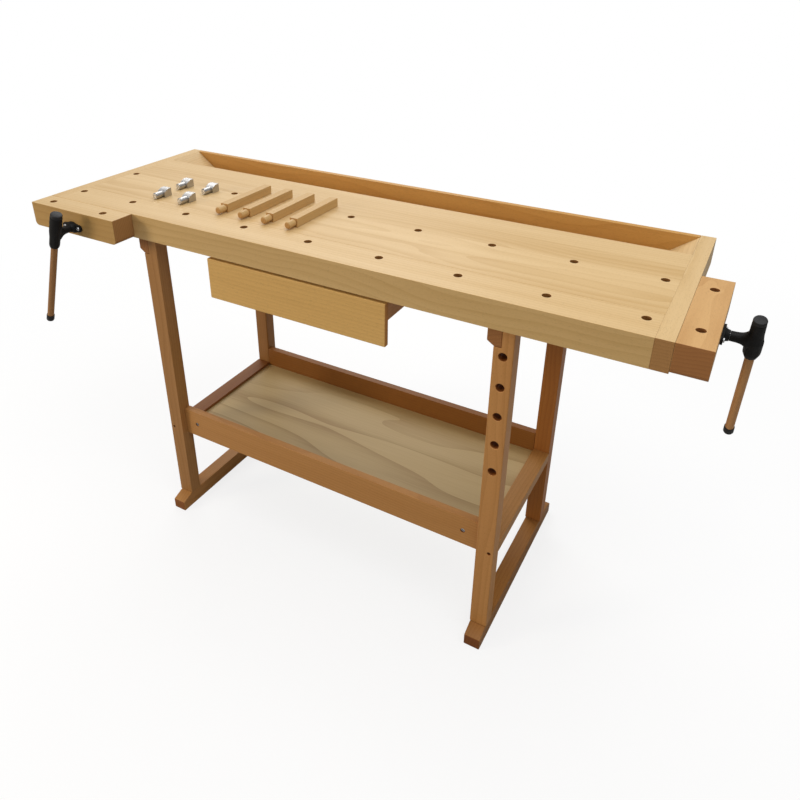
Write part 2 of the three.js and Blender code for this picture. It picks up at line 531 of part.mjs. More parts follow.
// One trestle: two legs on a foot, each notched at the top for the bearer that joins them
function addTrestle(bench, side, legX, pegHoles) {
  const legMiddle = legX + LEG_W / 2;
  const boltX = side === "left" ? legX + LEG_BOLT_INSET : legX + LEG_W - LEG_BOLT_INSET;
  const boltZ = SHELF_PANEL_TOP - LEG_BOLT_BELOW_PANEL;
  const boltR = LEG_BOLT_HOLE_D / 2;
  const frontFace = LEG_SETBACK - OVERCUT;
  const boltFoot = LEG_SETBACK + LEG_BOLT_HOLE_DEPTH;
  const frontHoles = [rod([boltX, frontFace, boltZ], [boltX, boltFoot, boltZ], boltR, SMALL_SEGMENTS)];
  for (let i = 0; i < pegHoles; i += 1) {
    const z = LEG_SHOULDER - LEG_HOLE_DROP - i * LEG_HOLE_PITCH;
    frontHoles.push(rod([legMiddle, frontFace, z], [legMiddle, FRONT_LEG_BACK + OVERCUT, z], DOG_HOLE_D / 2));
  }
  const rearFace = REAR_LEG_Y + LEG_D;
  const rearFoot = rearFace - LEG_BOLT_HOLE_DEPTH;
  const rearHole = rod([boltX, rearFoot, boltZ], [boltX, rearFace + OVERCUT, boltZ], boltR, SMALL_SEGMENTS);
  const legSide = legX + LEG_W;
  const bearerSide = legX + BEARER_LAP;
  const notchSide = bearerSide + GLUE_GAP;
  const legOutline = [[LEG_BOTTOM, legX], [LEG_SHOULDER, legX], [LEG_SHOULDER, notchSide],
    [LEG_TOP, notchSide], [LEG_TOP, legSide], [LEG_BOTTOM, legSide]];
  const front = drawnAlongY(legOutline, LEG_SETBACK, LEG_D);
  const rear = drawnAlongY(legOutline, REAR_LEG_Y, LEG_D);
  piece(bench, `${side}_front_leg`, cut(front, frontHoles), finishes.frameBeech);
  piece(bench, `${side}_rear_leg`, cut(rear, [rearHole]), finishes.frameBeech);

  const toe = LEG_SETBACK - FOOT_FRONT;
  const heel = rearFace + FOOT_REAR;
  const footOutline = [[toe, 0], [heel, 0], [heel, FOOT_TOE_H], [heel - FOOT_TOE_RUN, FOOT_H],
    [toe + FOOT_TOE_RUN, FOOT_H], [toe, FOOT_TOE_H]];
  piece(bench, `${side}_foot`, drawnAlongX(footOutline, legMiddle - FOOT_W / 2, FOOT_W), finishes.frameBeech);

  const proudSide = legX - BEARER_PROUD;
  const bearerOutline = [[BEARER_TOP, proudSide], [BEARER_TOP, bearerSide], [BEARER_BOTTOM, bearerSide],
    [BEARER_BOTTOM, legX], [BEARER_BOTTOM + BEARER_CHAMFER, proudSide]];
  const bearerLength = TOP_DEPTH - BEARER_REAR_SETBACK - LEG_SETBACK;
  piece(bench, `${side}_bearer`, drawnAlongY(bearerOutline, LEG_SETBACK, bearerLength), finishes.frameBeech);
}

// A shelf rail's section: a plain board with a groove in the face that looks at the panel
function groovedSection(outerFace, innerFace, bottom, top) {
  const grooveFoot = innerFace + Math.sign(outerFace - innerFace) * SHELF_GROOVE;
  const low = SHELF_PANEL_Z - GLUE_GAP;
  const high = SHELF_PANEL_TOP + GLUE_GAP;
  return [[outerFace, bottom], [innerFace, bottom], [innerFace, low], [grooveFoot, low],
    [grooveFoot, high], [innerFace, high], [innerFace, top], [outerFace, top]];
}

// The shelf: tall front and rear rails, low side rails as wide as the legs, and a panel in their grooves
function addShelf(bench) {
  const nutZ = SHELF_BOTTOM + SHELF_RAIL_H / 2;
  const nutR = BARREL_NUT_D / 2;
  const nutPlaces = [["left", SHELF_X0 + BARREL_NUT_INSET], ["right", SHELF_X1 - BARREL_NUT_INSET]];
  const frontRail = ["front", FRONT_RAIL_Y0, FRONT_RAIL_Y1, 1];
  const rearRail = ["rear", REAR_RAIL_SHELF_Y1, REAR_RAIL_SHELF_Y0, -1];
  for (const [side, outer, inner, inward] of [frontRail, rearRail]) {
    const section = groovedSection(outer, inner, SHELF_BOTTOM, SHELF_RAIL_TOP);
    const facing = inward > 0 ? section : section.reverse();
    const holeEnd = inner - inward * SHELF_GROOVE;
    const holeStart = outer - inward * OVERCUT;
    const holes = nutPlaces.map(([, x]) => rod([x, holeStart, nutZ], [x, holeEnd, nutZ], nutR + GLUE_GAP));
    const rail = drawnAlongX(facing, SHELF_X0, SHELF_X1 - SHELF_X0);
    piece(bench, `shelf_${side}_rail`, cut(rail, holes), finishes.frameBeech);
    const [nutStart, nutEnd] = [outer + inward * BARREL_NUT_SINK, holeEnd - inward * GLUE_GAP];
    for (const [end, x] of nutPlaces) {
      const nut = rod([x, nutStart, nutZ], [x, nutEnd, nutZ], nutR);
      piece(bench, `shelf_${side}_barrel_nut_${end}`, nut, finishes.brightSteel);
    }
  }
  const y0 = FRONT_LEG_BACK + GLUE_GAP;
  const y1 = REAR_LEG_Y - GLUE_GAP;
  const [leftOuter, leftInner] = [LEFT_LEG_X, LEFT_LEG_X + LEG_W];
  const [rightOuter, rightInner] = [RIGHT_LEG_X + LEG_W, RIGHT_LEG_X];
  for (const [side, outer, inner] of [["left", leftOuter, leftInner], ["right", rightOuter, rightInner]]) {
    const upright = groovedSection(outer, inner, SIDE_RAIL_TOP - SIDE_RAIL_H, SIDE_RAIL_TOP);
    const section = upright.map(([x, z]) => [z, x]);
    const facing = inner > outer ? section.reverse() : section;
    piece(bench, `shelf_${side}_rail`, drawnAlongY(facing, y0, y1 - y0), finishes.frameBeech);
  }
  const reach = SHELF_GROOVE - GLUE_GAP;
  const [wideX0, wideX1] = [leftInner - reach, rightInner + reach];
  const [deepY0, deepY1] = [FRONT_RAIL_Y1 - reach, REAR_RAIL_SHELF_Y0 + reach];
  const [shortY0, shortY1] = [FRONT_RAIL_Y1 + GLUE_GAP, REAR_RAIL_SHELF_Y0 - GLUE_GAP];
  const [slimX0, slimX1] = [SHELF_X0 + GLUE_GAP, SHELF_X1 - GLUE_GAP];
  const panel = drawn([[slimX0, deepY0], [slimX1, deepY0], [slimX1, shortY0], [wideX1, shortY0],
    [wideX1, shortY1], [slimX1, shortY1], [slimX1, deepY1], [slimX0, deepY1], [slimX0, shortY1],
    [wideX0, shortY1], [wideX0, shortY0], [slimX0, shortY0]], SHELF_PANEL_T);
  piece(bench, "shelf_panel", panel.translate(0, 0, SHELF_PANEL_Z), finishes.plywood);
}

// A shallow box behind a deep front that hangs below it as a finger pull
function addDrawer(bench) {
  const right = DRAWER_LEFT + DRAWER_W;
  const frontTop = DRAWER_TOP - DRAWER_FRONT_DROP;
  const front = block(DRAWER_LEFT, right, 0, DRAWER_FRONT_T, frontTop - DRAWER_FRONT_H, frontTop);
  piece(bench, "drawer_front", front, finishes.frameBeech);
  const runnerY0 = DRAWER_FRONT_T + RUN_CLEAR;
  const runnerLength = TOP_DEPTH - RUNNER_REAR_SETBACK - runnerY0;
  const bottomZ = DRAWER_BOX_BOTTOM + DRAWER_BOTTOM_UP;
  const inside = [];
  for (const [side, edge, inward] of [["left", DRAWER_LEFT, 1], ["right", right, -1]]) {
    const web = edge + inward * RUNNER_INSET;
    const webInner = web + inward * RUNNER_T;
    const ledge = webInner + inward * RUNNER_LEDGE_W;
    const ledgeTop = RUNNER_BOTTOM + RUNNER_LEDGE_H;
    const runner = [[RUNNER_BOTTOM, web], [RUNNER_BOTTOM, ledge], [ledgeTop, ledge], [ledgeTop, webInner],
      [RUNNER_TOP, webInner], [RUNNER_TOP, web]];
    const facing = inward > 0 ? runner.reverse() : runner;
    piece(bench, `drawer_runner_${side}`, drawnAlongY(facing, runnerY0, runnerLength), finishes.frameBeech);
    const outerFace = webInner + inward * RUN_CLEAR;
    const innerFace = outerFace + inward * DRAWER_SIDE_T;
    const groove = innerFace - inward * DRAWER_GROOVE;
    const low = bottomZ - GLUE_GAP;
    const high = bottomZ + DRAWER_BOTTOM_T + GLUE_GAP;
    const section = [[DRAWER_BOX_BOTTOM, outerFace], [DRAWER_BOX_BOTTOM, innerFace], [low, innerFace],
      [low, groove], [high, groove], [high, innerFace], [DRAWER_TOP, innerFace], [DRAWER_TOP, outerFace]];
    const sideFacing = inward > 0 ? section.reverse() : section;
    const sideBoard = drawnAlongY(sideFacing, DRAWER_BOX_Y0, DRAWER_BOX_D);
    piece(bench, `drawer_side_${side}`, sideBoard, finishes.plywood);
    inside.push(innerFace);
  }
  const [x0, x1] = [inside[0] + GLUE_GAP, inside[1] - GLUE_GAP];
  const backY0 = DRAWER_BOX_Y1 - DRAWER_SIDE_T;
  const aboveBottom = bottomZ + DRAWER_BOTTOM_T + GLUE_GAP;
  const back = block(x0, x1, backY0, DRAWER_BOX_Y1, aboveBottom, DRAWER_TOP);
  piece(bench, "drawer_back", back, finishes.plywood);
  const reach = DRAWER_GROOVE - 2 * GLUE_GAP;
  const bottomTop = bottomZ + DRAWER_BOTTOM_T;
  const bottom = block(x0 - reach, x1 + reach, DRAWER_BOX_Y0, DRAWER_BOX_Y1, bottomZ, bottomTop);
  piece(bench, "drawer_bottom", bottom, finishes.plywood);
}

// Wooden pegs: a square bar with a round spigot that fits the holes of the right front leg
function addPegs(bench) {
  const middle = PEG_SIZE / 2;
  const spigotR = PEG_SPIGOT_D / 2;
  const inBar = PEG_SPIGOT_L + OVERCUT;
  for (let i = 0; i < PEG_COUNT; i += 1) {
    const bar = block(-middle, middle, PEG_SPIGOT_L, PEG_SPIGOT_L + PEG_BAR_L, 0, PEG_SIZE);
    const spigot = turned([[0, 0], [spigotR - PEG_NOSE_R, 0], [spigotR, PEG_NOSE_R], [spigotR, inBar],
      [0, inBar]], new THREE.Vector3(0, 1, 0), ROUND_SEGMENTS);
    const shape = join([bar, spigot.translate(0, 0, middle)]);
    const peg = piece(bench, `peg_${i + 1}`, shape, finishes.frameBeech);
    peg.position.set(PEG_FIRST_X + i * PEG_PITCH, PEG_FRONT_Y, LOOSE_Z);
  }
}

// Steel dogs: a round stem under a square head with a sloped working face, lying on their sides
function addDogs(bench) {
  const headEnd = DOG_STEM_L + DOG_HEAD_L;
  const outline = [[DOG_STEM_L, 0], [headEnd, 0], [headEnd, DOG_HEAD_H],
    [DOG_STEM_L + DOG_HEAD_SLOPE_RUN, DOG_HEAD_H], [DOG_STEM_L, DOG_HEAD_H - DOG_HEAD_SLOPE_DROP]];
  const head = drawnAlongX(outline, -DOG_HEAD_W / 2, DOG_HEAD_W);
  const stemR = DOG_STEM_D / 2;
  const stem = rod([0, 0, stemR], [0, DOG_STEM_L + OVERCUT, stemR], stemR);
  const shape = join([head, stem]);
  DOG_PLACES.forEach(([x, y], i) => {
    const dog = piece(bench, `bench_dog_${i + 1}`, shape, finishes.brightSteel);
    dog.position.set(x, y, LOOSE_Z);
  });
}

const bench = new THREE.Group();
addTop(bench);
addTray(bench);
addVises(bench);
addTrestle(bench, "left", LEFT_LEG_X, 0);
addTrestle(bench, "right", RIGHT_LEG_X, LEG_HOLE_COUNT);
addShelf(bench);
addDrawer(bench);
addPegs(bench);
addDogs(bench);

// The origin lies on the floor, under the middle of the whole bench
const extent = new THREE.Box3().setFromObject(bench, true);
const middle = extent.getCenter(new THREE.Vector3());
bench.position.set(-middle.x, -middle.y, -extent.min.z);

export default bench;
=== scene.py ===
"""A beech woodworking bench with a front vise and a tail vise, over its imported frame. Metres, +Z up."""

import json

import bmesh
import bpy
import numpy as np
from mathutils import Matrix, Vector


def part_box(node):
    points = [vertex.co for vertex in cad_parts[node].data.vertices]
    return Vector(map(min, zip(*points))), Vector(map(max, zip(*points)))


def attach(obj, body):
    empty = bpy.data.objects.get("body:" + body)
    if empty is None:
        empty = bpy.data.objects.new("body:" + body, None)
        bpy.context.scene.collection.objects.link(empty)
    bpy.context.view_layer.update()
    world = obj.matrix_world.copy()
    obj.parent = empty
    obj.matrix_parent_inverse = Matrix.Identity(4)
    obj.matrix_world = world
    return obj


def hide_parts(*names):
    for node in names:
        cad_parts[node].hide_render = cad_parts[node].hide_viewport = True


# The bench as it was built: sixty plain solids that carry the joints.
# Each section below dresses one piece or one group of like pieces, in the order of assembly.
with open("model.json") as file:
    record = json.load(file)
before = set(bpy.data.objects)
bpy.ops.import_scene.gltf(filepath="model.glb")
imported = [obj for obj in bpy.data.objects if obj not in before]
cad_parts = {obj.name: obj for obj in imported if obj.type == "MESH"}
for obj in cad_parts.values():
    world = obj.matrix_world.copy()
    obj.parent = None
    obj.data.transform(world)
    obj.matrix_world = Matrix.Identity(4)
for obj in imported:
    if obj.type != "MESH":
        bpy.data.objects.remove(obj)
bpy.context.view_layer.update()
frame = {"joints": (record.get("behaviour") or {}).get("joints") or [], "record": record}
record = frame["record"]
body_of = {node: body for body, nodes in record["behaviour"]["bodies"].items() for node in nodes}
joint_axis = {joint["name"]: Vector(joint["axis"]) for joint in frame["joints"]}


# The viewpoint: a camera at standing height ahead of the bench's right half, looking down and to the left.
# Its place and turn were solved from the worktop's edges, the dog holes and the legs.
EYE = Vector((0.74015, -1.25665, 1.4042))
EYE_RIGHT = Vector((0.8655, 0.5009, -0.0014)).normalized()
EYE_FORWARD = Vector((-0.4480, 0.7729, -0.4494)).normalized()
FOCAL_PIXELS = 712.8
PICTURE_SIDE = 800
OPTICAL_CENTRE = (372.2, 301.5)
SENSOR = 36.0

lens = bpy.data.cameras.new("viewpoint")
lens.sensor_width = SENSOR
lens.lens = FOCAL_PIXELS / PICTURE_SIDE * SENSOR
lens.shift_x = 0.5 - OPTICAL_CENTRE[0] / PICTURE_SIDE
lens.shift_y = OPTICAL_CENTRE[1] / PICTURE_SIDE - 0.5
viewpoint = bpy.data.objects.new("viewpoint", lens)
eye_up = EYE_RIGHT.cross(EYE_FORWARD)
turn = Matrix((EYE_RIGHT, eye_up, -EYE_FORWARD)).transposed().to_4x4()
viewpoint.matrix_world = Matrix.Translation(EYE) @ turn
bpy.context.scene.collection.objects.link(viewpoint)
bpy.context.scene.camera = viewpoint
bpy.context.scene.view_settings.view_transform = "Standard"


# The room: a white studio with a pale matt floor, wide lamps over it and a warmer one at the front left.
# The world shows white to the eye and in reflections, and lights the bench softly from all round.
FLOOR_HALF = 14.0
FLOOR_BOUNCE = (0.42, 0.41, 0.40, 1.0)
WHITE = (1.0, 1.0, 1.0, 1.0)
FLOOR_GLOW = 0.80
GLOW_NEAR = 1.0
GLOW_FAR = 2.6
MOTTLE_SCALE = 3.0
WORLD_LIGHT = 0.34
BACKDROP_LIGHT = 1.0


class Field:
    """A value that changes over a surface. It wraps a socket, and Python's operators on it add Math nodes."""

    def __init__(self, socket):
        self.socket = socket

    def node(self, kind, settings, inputs, output=0):
        """Adds a node of that kind to the same tree, sets it up, fills its sockets and returns one output."""
        tree = self.socket.id_data
        made = tree.nodes.new(kind)
        for name, value in settings.items():
            setattr(made, name, value)
        for name, value in inputs.items():
            if isinstance(value, Field):
                tree.links.new(value.socket, made.inputs[name])
            else:
                made.inputs[name].default_value = value
        return Field(made.outputs[output])

    def output(self, name):
        """Another output of the node that this value comes from."""
        return Field(self.socket.node.outputs[name])

    def maths(self, operation, *others):
        values = dict(enumerate((self, *others)))
        return self.node("ShaderNodeMath", {"operation": operation}, values)

    def __add__(self, other):
        return self.maths("ADD", other)

    __radd__ = __add__

    def __mul__(self, other):
        return self.maths("MULTIPLY", other)

    __rmul__ = __mul__

    def __sub__(self, other):
        return self.maths("SUBTRACT", other)

    def __rsub__(self, other):
        return self.node("ShaderNodeMath", {"operation": "SUBTRACT"}, {0: other, 1: self})

    def __truediv__(self, other):
        return self.maths("DIVIDE", other)

    def __pow__(self, other):
        return self.maths("POWER", other)

    def between(self, low, high):
        """0 below low, 1 above high, smooth between them."""
        inputs = {"Value": self, "From Min": low, "From Max": high}
        return self.node("ShaderNodeMapRange", {"interpolation_type": "SMOOTHSTEP"}, inputs)

    def blend(self, first, second):
        """The first colour where this value is 0 and the second where it is 1."""
        inputs = {"Factor": self, 6: first, 7: second}
        return self.node("ShaderNodeMix", {"data_type": "RGBA"}, inputs, 2)

    def noise(self, scale=1.0, detail=2.0):
        """Noise read at this place, from 0 to 1."""
        return self.node("ShaderNodeTexNoise", {}, {"Vector": self, "Scale": scale, "Detail": detail})

    def relief(self, strength, distance):
        """A normal that tips as if this value were a height."""
        inputs = {"Height": self, "Strength": strength, "Distance": distance}
        return self.node("ShaderNodeBump", {}, inputs)

    def mark(self, name):
        """The value that each face of the mesh holds under that name."""
        return self.node("ShaderNodeAttribute", {"attribute_name": name}, {}, "Fac")


def new_finish(name):
    """A material with its shader, and a field of the piece's own Object coordinates to start from."""
    material = bpy.data.materials.new(name)
    material.use_nodes = True
    tree = material.node_tree
    shader = tree.nodes["Principled BSDF"]
    place = Field(tree.nodes.new("ShaderNodeTexCoord").outputs["Object"])
    return material, shader, place


def feed(shader, **inputs):
    """Puts fields or constants on the shader's sockets, with _ for the blanks in their names."""
    for name, value in inputs.items():
        socket = shader.inputs[name.replace("_", " ")]
        if isinstance(value, Field):
            shader.id_data.links.new(value.socket, socket)
        else:
            socket.default_value = value


def new_piece(name, points, faces):
    """A mesh object at the origin, with its place in its mesh."""
    mesh = bpy.data.meshes.new(name)
    mesh.from_pydata(np.asarray(points, float).reshape(-1, 3), [], faces)
    piece = bpy.data.objects.new(name, mesh)
    bpy.context.scene.collection.objects.link(piece)
    return piece


corners = [(x * FLOOR_HALF, y * FLOOR_HALF, 0) for x, y in ((-1, -1), (1, -1), (1, 1), (-1, 1))]
floor = new_piece("studio_floor", corners, [(0, 1, 2, 3)])
floor_paint, floor_shader, floor_place = new_finish("pale_floor")
seen = floor_place.node("ShaderNodeLightPath", {}, {}, "Is Camera Ray")
mottle = floor_place.noise(MOTTLE_SCALE)
feed(floor_shader, Base_Color=seen.blend(FLOOR_BOUNCE, WHITE), Roughness=mottle * 0.1 + 0.8)
away = floor_place.node("ShaderNodeVectorMath", {"operation": "LENGTH"}, {0: floor_place}, "Value")
glow = away.between(GLOW_NEAR, GLOW_FAR) * (1 - FLOOR_GLOW) + FLOOR_GLOW
share = (seen + seen.output("Is Transmission Ray")) * glow
paint = Field(floor_shader.outputs["BSDF"])
white = share.node("ShaderNodeEmission", {}, {})
surface = share.node("ShaderNodeMixShader", {}, {"Fac": share, 1: paint, 2: white})
floor_tree = floor_paint.node_tree
floor_tree.links.new(surface.socket, floor_tree.nodes["Material Output"].inputs["Surface"])
floor.data.materials.append(floor_paint)

world = bpy.data.worlds.new("studio")
world.use_nodes = True
bpy.context.scene.world = world
tree = world.node_tree
seen = Field(tree.nodes.new("ShaderNodeLightPath").outputs["Is Camera Ray"])
white_rays = seen.maths("MAXIMUM", seen.output("Is Transmission Ray"))
soft_light = seen.node("ShaderNodeBackground", {}, {"Color": WHITE, "Strength": WORLD_LIGHT})
backdrop = seen.node("ShaderNodeBackground", {}, {"Color": WHITE, "Strength": BACKDROP_LIGHT})
sky = seen.node("ShaderNodeMixShader", {}, {"Fac": white_rays, 1: soft_light, 2: backdrop})
tree.links.new(sky.socket, tree.nodes["World Output"].inputs["Surface"])

NEUTRAL = (1.0, 1.0, 1.0)
WARM = (1.0, 0.90, 0.76)
LAMPS = (
    ("rear_left_window", (-1.5, 1.8, 3.0), (-0.1, 0.1, 0.6), 2.4, 52, NEUTRAL),
    ("ceiling", (1.1, -0.4, 3.3), (0.6, 0.0, 0.0), 2.6, 54, NEUTRAL),
    ("front_left_lamp", (-2.6, -2.7, 1.7), (-0.2, 0.0, 0.6), 1.0, 47, WARM),
)
for name, stand, target, side, power, colour in LAMPS:
    lamp = bpy.data.lights.new(name, "AREA")
    lamp.shape = "SQUARE"
    lamp.size = side
    lamp.energy = power
    lamp.color = colour
    holder = bpy.data.objects.new(name, lamp)
    aim = (Vector(target) - Vector(stand)).to_track_quat("-Z", "Y")
    holder.matrix_world = Matrix.Translation(stand) @ aim.to_matrix().to_4x4()
    bpy.context.scene.collection.objects.link(holder)


# The front strip: a thick beech plank along the front edge, planed and varnished, with eased arrises.
# It carries the front row of dog holes, which are bored right through, and the front vise's screw and rods.
AXES = {"X": 0, "Y": 1, "Z": 2}
ARRIS = 0.0006
ARRIS_STEPS = 3
ARRIS_ANGLE = 35
END_SEAM = 0.00025
WALL_NEAR = 0.0002
WALL_SLANT = 0.1
UPRIGHT = 0.8
DRILL_PAST = 0.004
DOG_HOLE_R = 0.0083
DOG_FIRST = 0.0435
DOG_PITCH = 0.1696
DOG_COLUMNS = 9
DOG_ROW_FRONT = 0.062
BORE_CLEAR = 0.0008
SCREW_R = 0.010
ROD_R = 0.008
PALE_BEECH = (0.66, 0.465, 0.234, 1.0)
DEEP_BEECH = (0.51, 0.320, 0.124, 1.0)
END_LIGHT = (0.84, 0.68, 0.58)
END_DARK = (0.65, 0.50, 0.42)
# Painted shade on the strip's front faces: a darker, warmer tint than its lit top.
STRIP_FRONT_SHADE = (1.0, 0.94, 0.78)
# Painted shade in the bored holes: the tone that their walls are darkened to.
HOLE_SHADE_PAINT = (0.60, 0.43, 0.30)
FLECK_TINT = (0.45, 0.45, 0.45)
RING_PITCH = 0.0072
RING_WOBBLE = 0.034
PITH_LEVEL = 0.85
TONE_SPAN = (-0.15, 1.1)
SQUARE_ON = (0.55, 0.85)


def rectangle(low_u, high_u, low_v, high_v):
    return [(low_u, low_v), (high_u, low_v), (high_u, high_v), (low_u, high_v)]


def prism_faces(count, base=0):
    """The faces of a prism on two rings of points in a row: a quad for each side, and both ends."""
    i = np.arange(count) + base
    j = np.roll(i, -1)
    sides = np.stack([i, j, j + count, i + count], axis=1).tolist()
    return [*sides, i[::-1].tolist(), (i + count).tolist()]


def carried(name, outline, axis, start, end):
    """An outline carried straight along an axis: point (i, t) is outline i, moved t of the way from start to
    end. The outline lies in the next two axes in the order X, Y, Z, X, and both ends are closed."""
    points = np.asarray(outline, float)
    following = np.roll(points, -1, axis=0)
    if np.sum(points[:, 0] * following[:, 1] - points[:, 1] * following[:, 0]) < 0:
        points = points[::-1]
    count = len(points)
    a = AXES[axis]
    grid = np.empty((2, count, 3))
    grid[:, :, (a + 1) % 3] = points[:, 0]
    grid[:, :, (a + 2) % 3] = points[:, 1]
    grid[:, :, a] = np.array([[start], [end]])
    return new_piece(name, grid, prism_faces(count))


def board(name, node, axis, past=0.0):
    """A plain board that fills a node's box, carried along an axis and past both ends by a seam's width."""
    low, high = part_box(node)
    a = AXES[axis]
    u, v = (a + 1) % 3, (a + 2) % 3
    outline = rectangle(low[u], high[u], low[v], high[v])
    return carried(name, outline, axis, low[a] - past, high[a] + past)


bores_of = {}
facing_axis = {}


def heading(start, end):
    """The unit vector from start to end."""
    line = np.subtract(end, start)
    return line / np.linalg.norm(line)


def full_turn(count):
    """Angles spread evenly over one turn."""
    return np.linspace(0, 2 * np.pi, count, endpoint=False)


def ring_about(along, radius, count):
    """A circle round a unit vector: radius · (side·cos(angle) + other·sin(angle))."""
    helper = np.array([0.0, 0.0, 1.0]) if abs(along[2]) < UPRIGHT else np.array([1.0, 0.0, 0.0])
    side = np.cross(helper, along)
    side = side / np.linalg.norm(side)
    other = np.cross(along, side)
    angle = full_turn(count)
    return radius * (np.cos(angle)[:, None] * side + np.sin(angle)[:, None] * other)


def settled(piece):
    """Makes what a piece's modifiers do a part of its mesh."""
    bpy.context.view_layer.update()
    result = bpy.data.meshes.new_from_object(piece.evaluated_get(bpy.context.evaluated_depsgraph_get()))
    piece.modifiers.clear()
    old = piece.data
    piece.data = result
    bpy.data.meshes.remove(old)
    return piece


def combined(piece, tool, operation):
    """Joins a tool to a piece, or takes it away from it, and removes the tool."""
    modifier = piece.modifiers.new("fit", "BOOLEAN")
    modifier.operation = operation
    modifier.solver = "EXACT"
    modifier.object = tool
    settled(piece)
    bpy.data.objects.remove(tool)
    return piece


def drilled(piece, holes, count=40):
    """Takes round holes, each a start, an end and a radius, out of a piece, and remembers them."""
    points = []
    faces = []
    for start, end, radius in holes:
        ring = ring_about(heading(start, end), radius, count)
        faces.extend(prism_faces(count, len(points)))
        points.extend([*(ring + np.asarray(start)), *(ring + np.asarray(end))])
    bores_of.setdefault(piece.name, []).extend(holes)
    return combined(piece, new_piece(piece.name + "_drill", points, faces), "DIFFERENCE")


def eased(piece, width=ARRIS):
    """Rounds the edges of a piece as sanding does, and shades the faces between them flat."""
    piece.data.shade_smooth()
    bevel = piece.modifiers.new("arris", "BEVEL")
    bevel.width = width
    bevel.segments = ARRIS_STEPS
    bevel.limit_method = "ANGLE"
    bevel.angle_limit = np.radians(ARRIS_ANGLE)
    bevel.harden_normals = True
    return piece


def marked(piece, axis):
    """Writes three values on every face for the finish to read: how squarely it faces along the axis, how
    squarely it faces the front or the back, and 1 on the wall of a hole, where its middle lies a radius from
    the hole's line and it faces that line."""
    faces = piece.data.polygons
    normals, middles = np.empty(3 * len(faces)), np.empty(3 * len(faces))
    faces.foreach_get("normal", normals)
    faces.foreach_get("center", middles)
    normals, middles = normals.reshape(-1, 3), middles.reshape(-1, 3)
    in_hole = np.zeros(len(faces))
    for start, end, radius in bores_of.get(piece.name, ()):
        along = heading(start, end)
        arm = middles - start
        off = np.linalg.norm(arm - np.outer(arm @ along, along), axis=1)
        in_hole[(np.abs(off - radius) < WALL_NEAR) & (np.abs(normals @ along) < WALL_SLANT)] = 1.0
    squareness = np.abs(normals @ np.asarray(axis))
    for name, values in (("facing", squareness), ("fronting", np.abs(normals[:, 1])), ("in_hole", in_hole)):
        piece.data.attributes.new(name, "FLOAT", "FACE").data.foreach_set("value", values)


def dressed(piece, node, finish):
    """Puts the finish on a piece that stands for a node, and lets it ride on that node's body."""
    if finish.name in facing_axis:
        marked(piece, facing_axis[finish.name])
    piece.data.materials.clear()
    piece.data.materials.append(finish)
    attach(piece, body_of[node])
    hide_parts(node)
    return piece


def tinted(colour, tint):
    return (colour[0] * tint[0], colour[1] * tint[1], colour[2] * tint[2], 1.0)


def along_grain(place, grain, lean=(0.0, 0.0, 0.0)):
    """Splits a place into its run along the grain and its two places across it."""
    turned_place = place.node("ShaderNodeMapping", {}, {"Vector": place, "Rotation": lean})
    parts = turned_place.node("ShaderNodeSeparateXYZ", {}, {"Vector": turned_place})
    order = [("X", "Y", "Z"), ("Y", "Z", "X"), ("Z", "X", "Y")][AXES[grain]]
    return [parts.output(name) for name in order]


def grain_noise(wood, along, beside, shift=0.0, detail=2.0):
    """Noise at one scale along the grain and at another across it, moved on by a shift."""
    run, across, up = wood
    inputs = {"X": run * along + shift, "Y": across * beside + shift, "Z": up * beside}
    return run.node("ShaderNodeCombineXYZ", {}, inputs).noise(1.0, detail)


